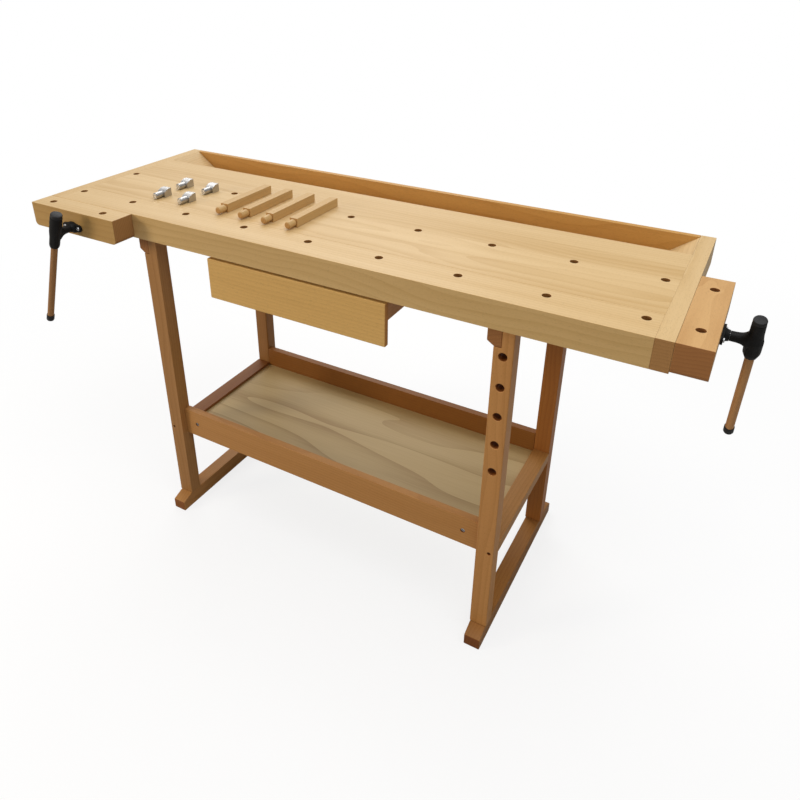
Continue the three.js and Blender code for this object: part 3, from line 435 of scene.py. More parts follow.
def beech(name, grain, pale, deep, seed, lean=(0.0, 0.0, 0.0), stave=None, pith=0.11, gloss=0.46,
          ends=(END_LIGHT, END_DARK), front_shade_tint=None):
    """Varnished beech: growth rings cut by the board's faces, slow drift, short flecks, and darker end grain.
    A hole's wall is painted darker as shade in the bore, and faces towards the front take a painted shade
    tint."""
    material, shader, place = new_finish(name)
    facing_axis[name] = np.eye(3)[AXES[grain]]
    wood = along_grain(place, grain, lean)
    across, up = wood[1:]
    wobble = grain_noise(wood, 2.2, 9.0, seed)
    drift = grain_noise(wood, 1.1, 26.0, seed + 7.3, 3.0)
    beside = across - (seed * 0.37 % 0.3 - 0.15)
    below = up - (PITH_LEVEL - pith)
    radius = (beside * beside + below * below) ** 0.5 + wobble * RING_WOBBLE
    rings = (radius / RING_PITCH).maths("FRACT") ** 2.2
    flecks = grain_noise(wood, 150.0, 1500.0, seed, 1.0).between(0.60, 0.72)
    silk = grain_noise(wood, 9.0, 420.0, seed)
    depth = rings * 0.34 + (drift - 0.36) * 0.95 + (silk - 0.5) * 0.30
    if stave:
        lane = (across - stave[0]) / stave[1]
        number = lane.maths("FLOOR") + seed
        lane_tint = place.node("ShaderNodeTexWhiteNoise", {"noise_dimensions": "1D"}, {"W": number})
        glue_line = (lane.maths("FRACT") - 0.5).maths("ABSOLUTE").between(0.4900, 0.4965)
        depth = depth + (lane_tint - 0.5) * 0.55 + glue_line * 0.55
    tone = depth.between(*TONE_SPAN)
    face = tone.blend(pale, deep)
    # Faces towards the front or back get a darker, warmer copy of the tones, as painted shade against the lit
    # top.
    if front_shade_tint:
        edge = tone.blend(tinted(pale, front_shade_tint), tinted(deep, front_shade_tint))
        face = place.mark("fronting").between(*SQUARE_ON).blend(face, edge)
    face = (flecks * 0.30).blend(face, tinted(deep, FLECK_TINT))
    end = place.mark("facing").between(*SQUARE_ON)
    pores = grain_noise(wood, 40.0, 900.0, seed, 1.0).between(0.45, 0.7)
    end_tone = (rings * 0.55 + pores * 0.45).blend(tinted(deep, ends[0]), tinted(deep, ends[1]))
    # Painted shade: a hole's wall is darkened towards the hole tint, standing for the shade inside the bore.
    colour = place.mark("in_hole").blend(end.blend(face, end_tone), tinted(deep, HOLE_SHADE_PAINT))
    relief = (rings * 0.12 + silk * 0.25 - flecks * 0.35).relief(0.22, 0.0005)
    feed(shader, Base_Color=colour, Roughness=drift * 0.16 + (gloss - 0.08) + end * 0.16, Normal=relief)
    feed(shader, Coat_Weight=0.06, Coat_Roughness=0.30, Specular_IOR_Level=0.26)
    return material


strip_low, strip_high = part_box("front_strip")
front_y, under_z, top_z = strip_low.y, strip_low.z, strip_high.z
dog_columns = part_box("left_end_cap")[0].x + DOG_FIRST + DOG_PITCH * np.arange(DOG_COLUMNS)


def dog_holes(columns, row):
    return [((x, row, under_z - DRILL_PAST), (x, row, top_z + DRILL_PAST), DOG_HOLE_R) for x in columns]


def middle_of(node):
    low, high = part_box(node)
    return (low + high) / 2


def vise_bores(name, node):
    """The bores right through a node that a vise's screw and rods run in."""
    low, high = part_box(node)
    axis = AXES["Y"] if name == "front_vise" else AXES["X"]
    bores = []
    for part, radius in (("screw", SCREW_R), ("guide_rod_left", ROD_R), ("guide_rod_right", ROD_R)):
        start = middle_of(f"{name}_{part}")
        end = start.copy()
        start[axis], end[axis] = low[axis] - DRILL_PAST, high[axis] + DRILL_PAST
        bores.append((tuple(start), tuple(end), radius + BORE_CLEAR))
    return bores


front_strip = board("front_strip_planed", "front_strip", "X", END_SEAM)
drilled(front_strip, dog_holes(dog_columns, front_y + DOG_ROW_FRONT))
drilled(front_strip, vise_bores("front_vise", "front_strip"))
# The strip's front face carries painted shade, tinted darker and warmer than the top.
strip_beech = beech("front_strip_beech", "X", PALE_BEECH, DEEP_BEECH, 3.1, pith=0.16, front_shade_tint=STRIP_FRONT_SHADE)
dressed(eased(front_strip), "front_strip", strip_beech)


# The board field: beech staves glued edge to edge into one thin panel behind the front strip.
# It carries the rear row of dog holes and shows each stave's own tone, with fine glue lines between them.
DOG_ROW_REAR = 0.234
STAVE_WIDTH = 0.0736
SHEET_ARRIS = 0.0004
top_panel = board("top_panel_glued", "top_panel", "X", END_SEAM)
drilled(top_panel, dog_holes(dog_columns, front_y + DOG_ROW_REAR))
staves = (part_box("top_panel")[0].y, STAVE_WIDTH)
field_beech = beech("board_field_beech", "X", PALE_BEECH, DEEP_BEECH, 11.7, stave=staves, pith=0.2)
dressed(eased(top_panel, SHEET_ARRIS), "top_panel", field_beech)


# The end caps: short planks across both ends, glued over the ends of the strip and the board field.
# Their grain runs front to back, so dark end grain shows at the front corner.
for side, seed in (("left", 5.2), ("right", 7.4)):
    node = f"{side}_end_cap"
    cap = board(f"{node}_planed", node, "Y")
    if side == "right":
        drilled(cap, vise_bores("tail_vise", node))
    dressed(eased(cap), node, beech(f"{side}_cap_beech", "Y", PALE_BEECH, DEEP_BEECH, seed))


# The tool tray: a plywood floor with a batten along its front, hung under the board field and let into the
# rear rail. Both are toned darker than the top, and a sloped block at each end lets shavings be swept out.
TRAY_PALE = (0.565, 0.308, 0.085, 1.0)
TRAY_DEEP = (0.44, 0.210, 0.049, 1.0)
PLY_EDGE_TINT = (0.5, 0.5, 0.5)
VENEER_T = 0.0028
RAIL_GROOVE = 0.005
GROOVE_CLEAR = 0.0003
TRAY_FLOOR_T = 0.008
BATTEN_W = 0.018
REAR_RAIL_ARRIS = 0.0009
RAMP_ARRIS = 0.0005


def plywood(name, grain, sheet, pale, deep, seed, figure=(1.3, 6.5), lines=9.0, contrast=0.55):
    """Rotary cut veneer: contour lines of a slow stretched noise, as the knife meets the growth rings.
    The lines fade in and out, and the edges show the plies as stripes through the sheet."""
    material, shader, place = new_finish(name)
    facing_axis[name] = np.eye(3)[AXES[sheet]]
    wood = along_grain(place, grain)
    height = grain_noise(wood, *figure, seed, 1.0)
    latewood = (height * lines).maths("FRACT") ** 3.5
    fade = grain_noise(wood, 1.7, 5.0, seed + 9.0, 1.0).between(0.38, 0.62)
    silk = grain_noise(wood, 7.0, 330.0, seed)
    broad = grain_noise(wood, 1.0, 3.0, seed + 4.0)
    figured = latewood * (fade * 0.75 + 0.25) * contrast
    tone = (figured + (silk - 0.5) * 0.45 + (broad - 0.45) * 0.9).between(-0.1, 1.05)
    edge = 1 - place.mark("facing").between(0.4, 0.8)
    through = place.node("ShaderNodeSeparateXYZ", {}, {"Vector": place}).output(sheet)
    plies = (through / VENEER_T).maths("FRACT").between(0.42, 0.58)
    colour = (edge * plies * 0.6).blend(tone.blend(pale, deep), tinted(deep, PLY_EDGE_TINT))
    relief = (silk * 0.4 + latewood * 0.2).relief(0.25, 0.0005)
    feed(shader, Base_Color=colour, Roughness=broad * 0.18 + 0.42, Normal=relief)
    feed(shader, Coat_Weight=0.08, Coat_Roughness=0.3)
    return material


def grooved(outer, inner, low, high, sheet, depth):
    """A board's section: a rectangle with a slot in its inner face for the edge of a sheet."""
    foot = inner + np.sign(outer - inner) * depth
    slot_low, slot_high = sheet[0] - GROOVE_CLEAR, sheet[1] + GROOVE_CLEAR
    return [(outer, low), (inner, low), (inner, slot_low), (foot, slot_low), (foot, slot_high),
            (inner, slot_high), (inner, high), (outer, high)]


def fitted(node, how, outline, axis, arris, finish):
    """Carries an outline through the length of a node's box, rounds its arrises and dresses it."""
    low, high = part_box(node)
    a = AXES[axis]
    piece = carried(f"{node}_{how}", outline, axis, low[a], high[a])
    return dressed(eased(piece, arris), node, finish)


tray_low, tray_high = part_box("tray_floor")
floor_top = tray_low.z + TRAY_FLOOR_T
batten_y = tray_low.y + BATTEN_W
tray_outline = [(tray_low.y, tray_low.z), (tray_high.y, tray_low.z), (tray_high.y, floor_top),
                (batten_y, floor_top), (batten_y, tray_high.z), (tray_low.y, tray_high.z)]
tray_veneer = plywood("tray_floor_veneer", "X", "Z", TRAY_PALE, TRAY_DEEP, 2.0)
fitted("tray_floor", "ply", tray_outline, "X", SHEET_ARRIS, tray_veneer)

low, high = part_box("rear_rail")
rail_outline = grooved(high.y, low.y, low.z, high.z, (tray_low.z, floor_top), RAIL_GROOVE)
rear_beech = beech("rear_rail_beech", "X", TRAY_PALE, TRAY_DEEP, 21.4)
fitted("rear_rail", "planed", rail_outline, "X", REAR_RAIL_ARRIS, rear_beech)

for side, seed in (("left", 4.4), ("right", 6.1)):
    node = f"tray_ramp_{side}"
    low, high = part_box(node)
    tall_x, foot_x = (low.x, high.x) if side == "left" else (high.x, low.x)
    ramp_outline = [(low.z, tall_x), (high.z, tall_x), (low.z, foot_x)]
    ramp_beech = beech(f"{node}_beech", "Y", PALE_BEECH, DEEP_BEECH, seed)
    fitted(node, "sawn", ramp_outline, "Y", RAMP_ARRIS, ramp_beech)


# The trestles: two beech legs stand on a sled foot with sloped toes, and a bearer under the top is let into
# the left half of their tops. The right front leg has a column of peg holes, and a bolt sunk in each leg
# draws the shelf's side rail up.
HONEY_BEECH = (0.54, 0.260, 0.078, 1.0)
TOAST_BEECH = (0.39, 0.165, 0.039, 1.0)
PEG_HOLE_DROP = 0.018
PEG_HOLE_PITCH = 0.0658
PEG_HOLES = 5
BOLT_HOLE_R = 0.0035
BOLT_HOLE_DEPTH = 0.010
BOLT_CLEAR = 0.0004
BOLT_HEAD = {"head_r": BOLT_HOLE_R - BOLT_CLEAR, "head_h": 0.004, "socket_r": 0.0018, "socket_depth": 0.002}
BOLT_SEAT_GAP = 0.0003
BOLT_UP = 0.0188
BOLT_INSET = 0.010
TOE_H = 0.028
TOE_RUN = 0.030
BEARER_CHAMFER = 0.009
NOTCH_GAP = 0.0003
LEG_ARRIS = 0.0035
FOOT_ARRIS = 0.002
BEARER_DEEP = (0.43, 0.222, 0.075, 1.0)
shelf_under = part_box("shelf_front_rail")[0].z
BRIGHT_STEEL = (0.74, 0.75, 0.76, 1.0)
DULL_TINT = (0.72, 0.72, 0.72)
MERGE_WITHIN = 1e-6
EMPTY_BELOW = 1e-7


def turned(name, profile, start, along, count=48):
    """A profile of radius and distance turned about a line: each of its points goes round a circle."""
    radii, distances = np.asarray(profile, float).T
    along = heading((0.0, 0.0, 0.0), along)
    return skinned(name, start, along, distances, radii[:, None, None] * ring_about(along, 1.0, count))


def skinned(name, start, along, distances, rings):
    """A skin over rings of points: point (i, j) is start + along·distance(i) + ring(i, j), and quads join
    each ring to the next. Points that meet are merged, empty faces dropped and all faces turned outwards."""
    points = np.asarray(start) + distances[:, None, None] * np.asarray(along) + rings
    rows, count = points.shape[:2]
    row, column = np.meshgrid(np.arange(rows - 1), np.arange(count), indexing="ij")
    beside = (column + 1) % count
    quads = np.stack([row * count + column, row * count + beside,
                      (row + 1) * count + beside, (row + 1) * count + column], axis=-1)
    piece = new_piece(name, points, quads.reshape(-1, 4).tolist())
    work = bmesh.new()
    work.from_mesh(piece.data)
    bmesh.ops.remove_doubles(work, verts=work.verts, dist=MERGE_WITHIN)
    bmesh.ops.dissolve_degenerate(work, edges=work.edges, dist=EMPTY_BELOW)
    bmesh.ops.recalc_face_normals(work, faces=work.faces)
    work.to_mesh(piece.data)
    work.free()
    return piece


def smoothed(piece, degrees):
    """Shades a piece smooth, but leaves the edges sharp where its faces turn by more than that angle."""
    piece.data.shade_smooth()
    piece.data.set_sharp_from_angle(angle=np.radians(degrees))
    return piece


def bright_steel(name, colour, roughness):
    """Plated steel: brushed along the piece, with soft smudges in its gloss."""
    material, shader, place = new_finish(name)
    brush = grain_noise(along_grain(place, "Y"), 60.0, 900.0)
    smudge = place.noise(70.0, 3.0)
    tone = (smudge * 0.5 + brush * 0.4).between(0.2, 0.8)
    plated = tone.blend(tinted(colour, DULL_TINT), colour)
    feed(shader, Base_Color=plated, Metallic=1.0, Normal=brush.relief(0.12, 0.0003))
    feed(shader, Roughness=smudge * 0.18 + brush * 0.08 + (roughness - 0.1))
    return material


fastener_steel = bright_steel("fastener_steel", BRIGHT_STEEL, 0.30)


def fastener(name, body, face, outward, head_r, head_h, socket_r, socket_depth):
    """A round machine screw head: a domed disc with a socket, turned about the line it is driven along."""
    profile = [(0.0, head_h - socket_depth), (socket_r * 0.8, head_h - socket_depth), (socket_r, head_h),
               (head_r * 0.82, head_h), (head_r, head_h * 0.6), (head_r, 0.0), (0.0, 0.0)]
    screw = smoothed(turned(name, profile, face, outward, count=24), degrees=40)
    screw.data.materials.append(fastener_steel)
    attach(screw, body)
    return screw


def honey_beech(name, grain, tint, seed, **more):
    """The beech of the trestles and of the shelf's rails, tinted piece by piece darker or lighter as painted
    shade or light.
    """
    return beech(name, grain, tinted(HONEY_BEECH, tint), tinted(TOAST_BEECH, tint), seed, **more)


# Each leg's tint is painted shade or light: the left and rear legs are darker, the right front leg a little
# lighter.
LEG_SEEDS_AND_PAINTED_SHADE = {"left_front_leg": (31.0, (0.78, 0.79, 0.82)), "left_rear_leg": (33.7, (0.70, 0.68, 0.66)),
             "right_front_leg": (36.1, (1.05, 1.04, 1.05)), "right_rear_leg": (39.8, (0.80, 0.63, 0.46))}
for node, (seed, tint) in LEG_SEEDS_AND_PAINTED_SHADE.items():
    low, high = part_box(node)
    bearer_low, bearer_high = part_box(f"{node.split('_')[0]}_bearer")
    shoulder, notch_side = bearer_low.z - NOTCH_GAP, bearer_high.x + NOTCH_GAP
    leg_outline = [(low.z, low.x), (shoulder, low.x), (shoulder, notch_side), (high.z, notch_side),
                   (high.z, high.x), (low.z, high.x)]
    leg = carried(f"{node}_planed", leg_outline, "Y", low.y, high.y)
    bolt_x = low.x + BOLT_INSET if node.startswith("left") else high.x - BOLT_INSET
    bolt_z = shelf_under + BOLT_UP
    outer, inward = (low.y, 1) if "front" in node else (high.y, -1)
    bolt_foot = outer + inward * BOLT_HOLE_DEPTH
    holes = [((bolt_x, outer - inward * DRILL_PAST, bolt_z), (bolt_x, bolt_foot, bolt_z), BOLT_HOLE_R)]
    if node == "right_front_leg":
        middle_x = middle_of(node).x
        heights = shoulder - PEG_HOLE_DROP - PEG_HOLE_PITCH * np.arange(PEG_HOLES)
        front, back = low.y - DRILL_PAST, high.y + DRILL_PAST
        holes += [((middle_x, front, z), (middle_x, back, z), DOG_HOLE_R) for z in heights]
    drilled(leg, holes)
    leg_beech = honey_beech(f"{node}_beech", "Z", tint, seed, pith=0.3)
    dressed(eased(leg, LEG_ARRIS), node, leg_beech)
    seat = (bolt_x, bolt_foot - inward * BOLT_SEAT_GAP, bolt_z)
    fastener(f"{node}_bolt", "bench", seat, (0, -inward, 0), **BOLT_HEAD)

# The feet's tints are painted shade: both are darkened, the right one most, for the shade low under the
# bench.
for side, seed, tint in (("left", 41.2, (0.88, 0.88, 0.88)), ("right", 44.6, (0.67, 0.62, 0.54))):
    low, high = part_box(f"{side}_foot")
    foot_outline = [(low.y, low.z), (high.y, low.z), (high.y, TOE_H), (high.y - TOE_RUN, high.z),
                    (low.y + TOE_RUN, high.z), (low.y, TOE_H)]
    foot_beech = honey_beech(f"{side}_foot_beech", "Y", tint, seed)
    fitted(f"{side}_foot", "sawn", foot_outline, "X", FOOT_ARRIS, foot_beech)
    low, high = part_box(f"{side}_bearer")
    leg_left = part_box(f"{side}_front_leg")[0].x
    bearer_outline = [(high.z, low.x), (high.z, high.x), (low.z, high.x), (low.z, leg_left),
                      (low.z + BEARER_CHAMFER, low.x)]
    bearer_beech = beech(f"{side}_bearer_beech", "Y", HONEY_BEECH, BEARER_DEEP, seed + 3.3)
    fitted(f"{side}_bearer", "sawn", bearer_outline, "Y", FOOT_ARRIS, bearer_beech)


# The lower shelf: grooved beech rails between the legs, tall ones front and rear and low ones at the sides,
# hold a plywood panel well below the top edges of the tall ones. A steel barrel nut sits across each end of
# the long rails, for the bolts that come through the legs.
SHELF_GROOVE = 0.006
# Painted shade: the rear shelf rail's tones, darker copies of the trestles' beech for the shade under the
# top.
PAINTED_SHADE_PALE = (0.31, 0.120, 0.023, 1.0)
PAINTED_SHADE_DEEP = (0.225, 0.077, 0.012, 1.0)
PLY_PALE = (0.635, 0.480, 0.226, 1.0)
PLY_DEEP = (0.345, 0.200, 0.056, 1.0)
NUT_CHAMFER = 0.0007
NUT_SLOT = 0.0028
ply_low, ply_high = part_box("shelf_panel")
ply_span = (ply_low.z, ply_high.z)


def flipped(outline):
    return [(v, u) for u, v in outline]


# The rear rail takes the painted shade tones, the front rail the plain honey beech.
RAIL_TONES = {"front": (HONEY_BEECH, TOAST_BEECH, 51.3), "rear": (PAINTED_SHADE_PALE, PAINTED_SHADE_DEEP, 54.9)}
for end, (rail_pale, rail_deep, seed) in RAIL_TONES.items():
    node = f"shelf_{end}_rail"
    low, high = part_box(node)
    outer, inner, outward = (low.y, high.y, -1) if end == "front" else (high.y, low.y, 1)
    section = grooved(outer, inner, low.z, high.z, ply_span, SHELF_GROOVE)
    rail = carried(f"{node}_planed", section, "X", low.x, high.x)
    nut_holes = []
    for side in ("left", "right"):
        nut_node = f"shelf_{end}_barrel_nut_{side}"
        nut_low, nut_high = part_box(nut_node)
        x, _, z = (nut_low + nut_high) / 2
        radius = (nut_high.x - nut_low.x) / 2
        length = nut_high.y - nut_low.y
        back = nut_high.y if end == "front" else nut_low.y
        nut_holes.append(((x, outer + outward * DRILL_PAST, z), (x, back - outward * GROOVE_CLEAR, z),
                          radius + GROOVE_CLEAR))
        rim, slot_floor = length - NUT_CHAMFER, length - NUT_SLOT
        nut_profile = [(0.0, 0.0), (radius, 0.0), (radius, rim), (radius - NUT_CHAMFER, length),
                       (radius * 0.55, length), (radius * 0.45, slot_floor), (0.0, slot_floor)]
        nut = turned(f"{nut_node}_turned", nut_profile, (x, back, z), (0, outward, 0), count=32)
        dressed(smoothed(nut, degrees=40), nut_node, fastener_steel)
    drilled(rail, nut_holes, count=32)
    dressed(eased(rail), node, beech(f"{node}_beech", "X", rail_pale, rail_deep, seed))

# Painted shade: the left side rail's tint darkens it far more than the right one's, for the shade on its
# inner face.
for side, seed, tint in (("left", 57.0, (0.56, 0.46, 0.40)), ("right", 59.4, (0.92, 0.94, 0.90))):
    node = f"shelf_{side}_rail"
    low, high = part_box(node)
    outer, inner = (low.x, high.x) if side == "left" else (high.x, low.x)
    section = flipped(grooved(outer, inner, low.z, high.z, ply_span, SHELF_GROOVE))
    fitted(node, "planed", section, "Y", ARRIS, honey_beech(f"{node}_beech", "Y", tint, seed))

front_rail_low, front_rail_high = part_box("shelf_front_rail")
ply_front = front_rail_high.y + GROOVE_CLEAR
ply_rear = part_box("shelf_rear_rail")[0].y - GROOVE_CLEAR
slim_left, slim_right = front_rail_low.x + GROOVE_CLEAR, front_rail_high.x - GROOVE_CLEAR
ply_outline = [(slim_left, ply_low.y), (slim_right, ply_low.y), (slim_right, ply_front),
               (ply_high.x, ply_front), (ply_high.x, ply_rear), (slim_right, ply_rear),
               (slim_right, ply_high.y), (slim_left, ply_high.y), (slim_left, ply_rear),
               (ply_low.x, ply_rear), (ply_low.x, ply_front), (slim_left, ply_front)]
shelf_veneer = plywood("shelf_veneer", "X", "Z", PLY_PALE, PLY_DEEP, 13.5, (0.9, 4.6), 10.0, 0.50)
fitted("shelf_panel", "ply", ply_outline, "Z", SHEET_ARRIS, shelf_veneer)


# The drawer: a deep beech front whose lower edge is the finger pull, on a shallow plywood box.
# It runs on the ledges of two beech runners, which are screwed up under the top.
DRAWER_PALE = (0.74, 0.450, 0.145, 1.0)
DRAWER_DEEP = (0.60, 0.330, 0.092, 1.0)
DRAWER_GROOVE = 0.004
LEDGE_W = 0.011
LEDGE_H = 0.008
DRAWER_FRONT_ARRIS = 0.002
DRAWER_SIDE_ARRIS = 0.0008
DRAWER_BOARD_ARRIS = 0.0005
RUNNER_ARRIS = 0.001
drawer_front = board("drawer_front_planed", "drawer_front", "X")
drawer_beech = beech("drawer_front_beech", "X", DRAWER_PALE, DRAWER_DEEP, 61.4, pith=0.5, gloss=0.56)
dressed(eased(drawer_front, DRAWER_FRONT_ARRIS), "drawer_front", drawer_beech)
bottom_low, bottom_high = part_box("drawer_bottom")
bottom_span = (bottom_low.z, bottom_high.z)
for side, seed in (("left", 66.2), ("right", 68.8)):
    node = f"drawer_side_{side}"
    low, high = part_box(node)
    outer, inner, inward = (low.x, high.x, 1) if side == "left" else (high.x, low.x, -1)
    section = flipped(grooved(outer, inner, low.z, high.z, bottom_span, DRAWER_GROOVE))
    side_veneer = plywood(f"{node}_veneer", "Y", "X", PLY_PALE, PLY_DEEP, seed)
    fitted(node, "ply", section, "Y", DRAWER_SIDE_ARRIS, side_veneer)
    node = f"drawer_runner_{side}"
    low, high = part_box(node)
    web, ledge = (low.x, high.x) if side == "left" else (high.x, low.x)
    web_inner = ledge - inward * LEDGE_W
    runner_outline = [(low.z, web), (low.z, ledge), (low.z + LEDGE_H, ledge), (low.z + LEDGE_H, web_inner),
                      (high.z, web_inner), (high.z, web)]
    runner_beech = beech(f"{node}_beech", "Y", HONEY_BEECH, TOAST_BEECH, seed + 1.0)
    fitted(node, "sawn", runner_outline, "Y", RUNNER_ARRIS, runner_beech)
for node, sheet, seed in (("drawer_back", "Y", 71.5), ("drawer_bottom", "Z", 73.9)):
    veneer = plywood(f"{node}_veneer", "X", sheet, PLY_PALE, PLY_DEEP, seed)
    dressed(eased(board(f"{node}_ply", node, "X"), DRAWER_BOARD_ARRIS), node, veneer)


# The vise jaws: thick beech blocks with rounded lower corners, drawn up against the front edge and the right
# end. Each has two dog holes in line with the rows on the top, a bore for its screw and sockets for its rods.
JAW_CORNER = 0.010
CORNER_STEPS = 8
JAW_PALE = (0.61, 0.365, 0.150, 1.0)
JAW_DEEP = (0.46, 0.240, 0.083, 1.0)
# Painted shade on the chop's front face: a darker, warmer tint than its top.
CHOP_FRONT_SHADE = (0.77, 0.65, 0.42)
# The chop's end grain: darker end grain, made darker still as painted shade on its shaded right end.
CHOP_ENDS_WITH_SHADE = ((0.70, 0.55, 0.46), (0.54, 0.41, 0.34))
ROD_SEAT_CLEAR = 0.0003
JAW_ARRIS = 0.0018
VISES = {
    "front_vise": {"jaw": "front_chop", "out": Vector((0, -1, 0)), "side": Vector((1, 0, 0)),
                   "handle": "front_handle_slide"},
    "tail_vise": {"jaw": "tail_jaw", "out": Vector((1, 0, 0)), "side": Vector((0, 1, 0)),
                  "handle": "tail_handle_slide"},
}


def rounded_jaw(low_u, high_u, low_v, high_v):
    """A rectangle whose lower corners are quarter circles: centre + radius·(cos, sin) over a quarter."""
    quarter = np.linspace(0, np.pi / 2, CORNER_STEPS)
    right = np.stack([high_u - JAW_CORNER + JAW_CORNER * np.sin(quarter),
                      low_v + JAW_CORNER - JAW_CORNER * np.cos(quarter)], axis=1)
    left = np.stack([low_u + JAW_CORNER - JAW_CORNER * np.cos(quarter),
                     low_v + JAW_CORNER - JAW_CORNER * np.sin(quarter)], axis=1)
    return [*right.tolist(), (high_u, high_v), (low_u, high_v), *left.tolist()]


for name, vise in VISES.items():
    low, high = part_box(vise["jaw"])
    axis_middle = middle_of(f"{name}_flange")
    if name == "front_vise":
        vise["face"] = Vector((axis_middle.x, low.y, axis_middle.z))
        thickness = high.y - low.y
        outline = flipped(rounded_jaw(low.x, high.x, low.z, high.z))
        jaw = carried("front_chop_planed", outline, "Y", low.y, high.y)
        dogs = dog_holes(dog_columns[:2], (low.y + high.y) / 2)
        jaw_beech = beech("front_chop_beech", "X", PALE_BEECH, DEEP_BEECH, 81.3, ends=CHOP_ENDS_WITH_SHADE,
                          front_shade_tint=CHOP_FRONT_SHADE)
    else:
        vise["face"] = Vector((high.x, axis_middle.y, axis_middle.z))
        thickness = high.x - low.x
        jaw = carried("tail_jaw_planed", rounded_jaw(low.y, high.y, low.z, high.z), "X", low.x, high.x)
        middle_x = middle_of("tail_jaw").x
        rows = (front_y + DOG_ROW_FRONT, front_y + DOG_ROW_REAR)
        dogs = [hole for row in rows for hole in dog_holes([middle_x], row)]
        jaw_beech = beech("tail_jaw_beech", "Y", JAW_PALE, JAW_DEEP, 84.7)
    face, out = vise["face"], vise["out"]
    behind = out * (thickness + DRILL_PAST)
    bores = [(tuple(face - behind), tuple(face + out * DRILL_PAST), SCREW_R + BORE_CLEAR)]
    for side in ("left", "right"):
        rod_low, rod_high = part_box(f"{name}_guide_rod_{side}")
        offset = ((rod_low + rod_high) / 2 - face).dot(vise["side"])
        seat = max((rod_low - face).dot(out), (rod_high - face).dot(out)) + ROD_SEAT_CLEAR
        line = face + vise["side"] * offset
        bores.append((tuple(line - behind), tuple(line + out * seat), ROD_R + ROD_SEAT_CLEAR))
    drilled(jaw, dogs)
    drilled(jaw, bores)
    dressed(eased(jaw, JAW_ARRIS), vise["jaw"], jaw_beech)


# The vise guides: ground steel rods fixed in each jaw, a cast nut behind the front strip for the front screw,
# and a beech block under the board field that the tail vise's screw and rods run through.
ROD_CHAMFER = 0.0015
NUT_ARRIS = 0.0025
GUIDE_ARRIS = 0.0015
rod_steel = bright_steel("ground_rod_steel", (0.60, 0.61, 0.62, 1.0), 0.28)
for name, vise in VISES.items():
    out = vise["out"]
    for side in ("left", "right"):
        node = f"{name}_guide_rod_{side}"
        low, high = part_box(node)
        reach = abs((high - low).dot(out))
        start = middle_of(node) - out * reach / 2
        rod_profile = [(0, 0), (ROD_R - ROD_CHAMFER, 0), (ROD_R, ROD_CHAMFER), (ROD_R, reach - ROD_CHAMFER),
                       (ROD_R - ROD_CHAMFER, reach), (0, reach)]
        rod = turned(f"{node}_ground", rod_profile, start, out, count=40)
        dressed(smoothed(rod, degrees=30), node, rod_steel)


def black_casting(name, colour, worn, roughness):
    """Black paint over a sand casting: a fine pebbled skin, slow changes of gloss and a little grey wear."""
    material, shader, place = new_finish(name)
    pebble = place.noise(900.0)
    swell = place.noise(55.0)
    rub = (swell * 0.7 + pebble * 0.3).between(0.52, 0.78)
    relief = (pebble + swell * 0.8).relief(0.35, 0.0006)
    feed(shader, Base_Color=rub.blend(colour, worn), Roughness=swell * 0.22 + (roughness - 0.1))
    feed(shader, Normal=relief, Specular_IOR_Level=0.22)
    return material


CASTING_BLACK = (0.006, 0.006, 0.006, 1.0)
CASTING_WORN = (0.016, 0.016, 0.017, 1.0)
casting_black = black_casting("black_painted_casting", CASTING_BLACK, CASTING_WORN, 0.55)
nut_block = board("front_vise_nut_cast", "front_vise_nut", "X")
drilled(nut_block, vise_bores("front_vise", "front_vise_nut")[:1])
dressed(eased(nut_block, NUT_ARRIS), "front_vise_nut", casting_black)
guide_block = board("tail_guide_block_sawn", "tail_guide_block", "Y")
drilled(guide_block, vise_bores("tail_vise", "tail_guide_block"))
guide_beech = beech("tail_guide_block_beech", "Y", HONEY_BEECH, TOAST_BEECH, 91.0)
dressed(eased(guide_block, GUIDE_ARRIS), "tail_guide_block", guide_beech)


# The vise screws: steel spindles with a square thread, and a plain neck that runs out through the flange.
# The thread's depth follows its turn, so that the flanks climb one pitch for each turn.
THREAD_PITCH = 0.006
THREAD_DEPTH = 0.0022
FLANK_SLOPE = 2.4
FLANK_SET = 0.7
THREAD_STEPS = 12
NECK_R = 0.008
SHOULDER = 0.003
NECK_SINK = 0.001
screw_steel = bright_steel("screw_steel", (0.45, 0.455, 0.46, 1.0), 0.36)


def threaded(name, start, out, length, count=40):
    """A screw: radius = core + depth·clip(slope·|2·frac(d / pitch − angle / turn) − 1| − set, 0, 1) at
    distance d, and the thread fades in over one pitch at both ends."""
    rows = int(length / THREAD_PITCH * THREAD_STEPS)
    distance = np.linspace(0, length, rows)
    phase = np.mod(distance[:, None] / THREAD_PITCH - full_turn(count) / (2 * np.pi), 1.0)
    crest = np.clip(FLANK_SLOPE * np.abs(2 * phase - 1) - FLANK_SET, 0, 1)
    run_in = np.clip(np.minimum(distance, length - distance) / THREAD_PITCH, 0, 1)
    radius = SCREW_R - THREAD_DEPTH + THREAD_DEPTH * crest * run_in[:, None]
    radius = np.vstack([np.zeros(count), radius, np.zeros(count)])
    distance = np.concatenate([[0.0], distance, [length]])
    ring = ring_about(np.asarray(out), 1.0, count)
    return skinned(name, start, out, distance, radius[..., None] * ring)


for name, vise in VISES.items():
    low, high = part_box(f"{name}_screw")
    face, out = vise["face"], vise["out"]
    reach = sorted(((low - face).dot(out), (high - face).dot(out)))
    screw = threaded(f"{name}_screw_cut", face + out * reach[0], out, -SHOULDER - reach[0])
    neck_foot = -SHOULDER - NECK_SINK
    neck_profile = [(0, neck_foot), (NECK_R, neck_foot), (NECK_R, reach[1]), (0, reach[1])]
    combined(screw, turned(f"{name}_neck", neck_profile, face, out, count=40), "UNION")
    dressed(smoothed(screw, degrees=38), f"{name}_screw", screw_steel)


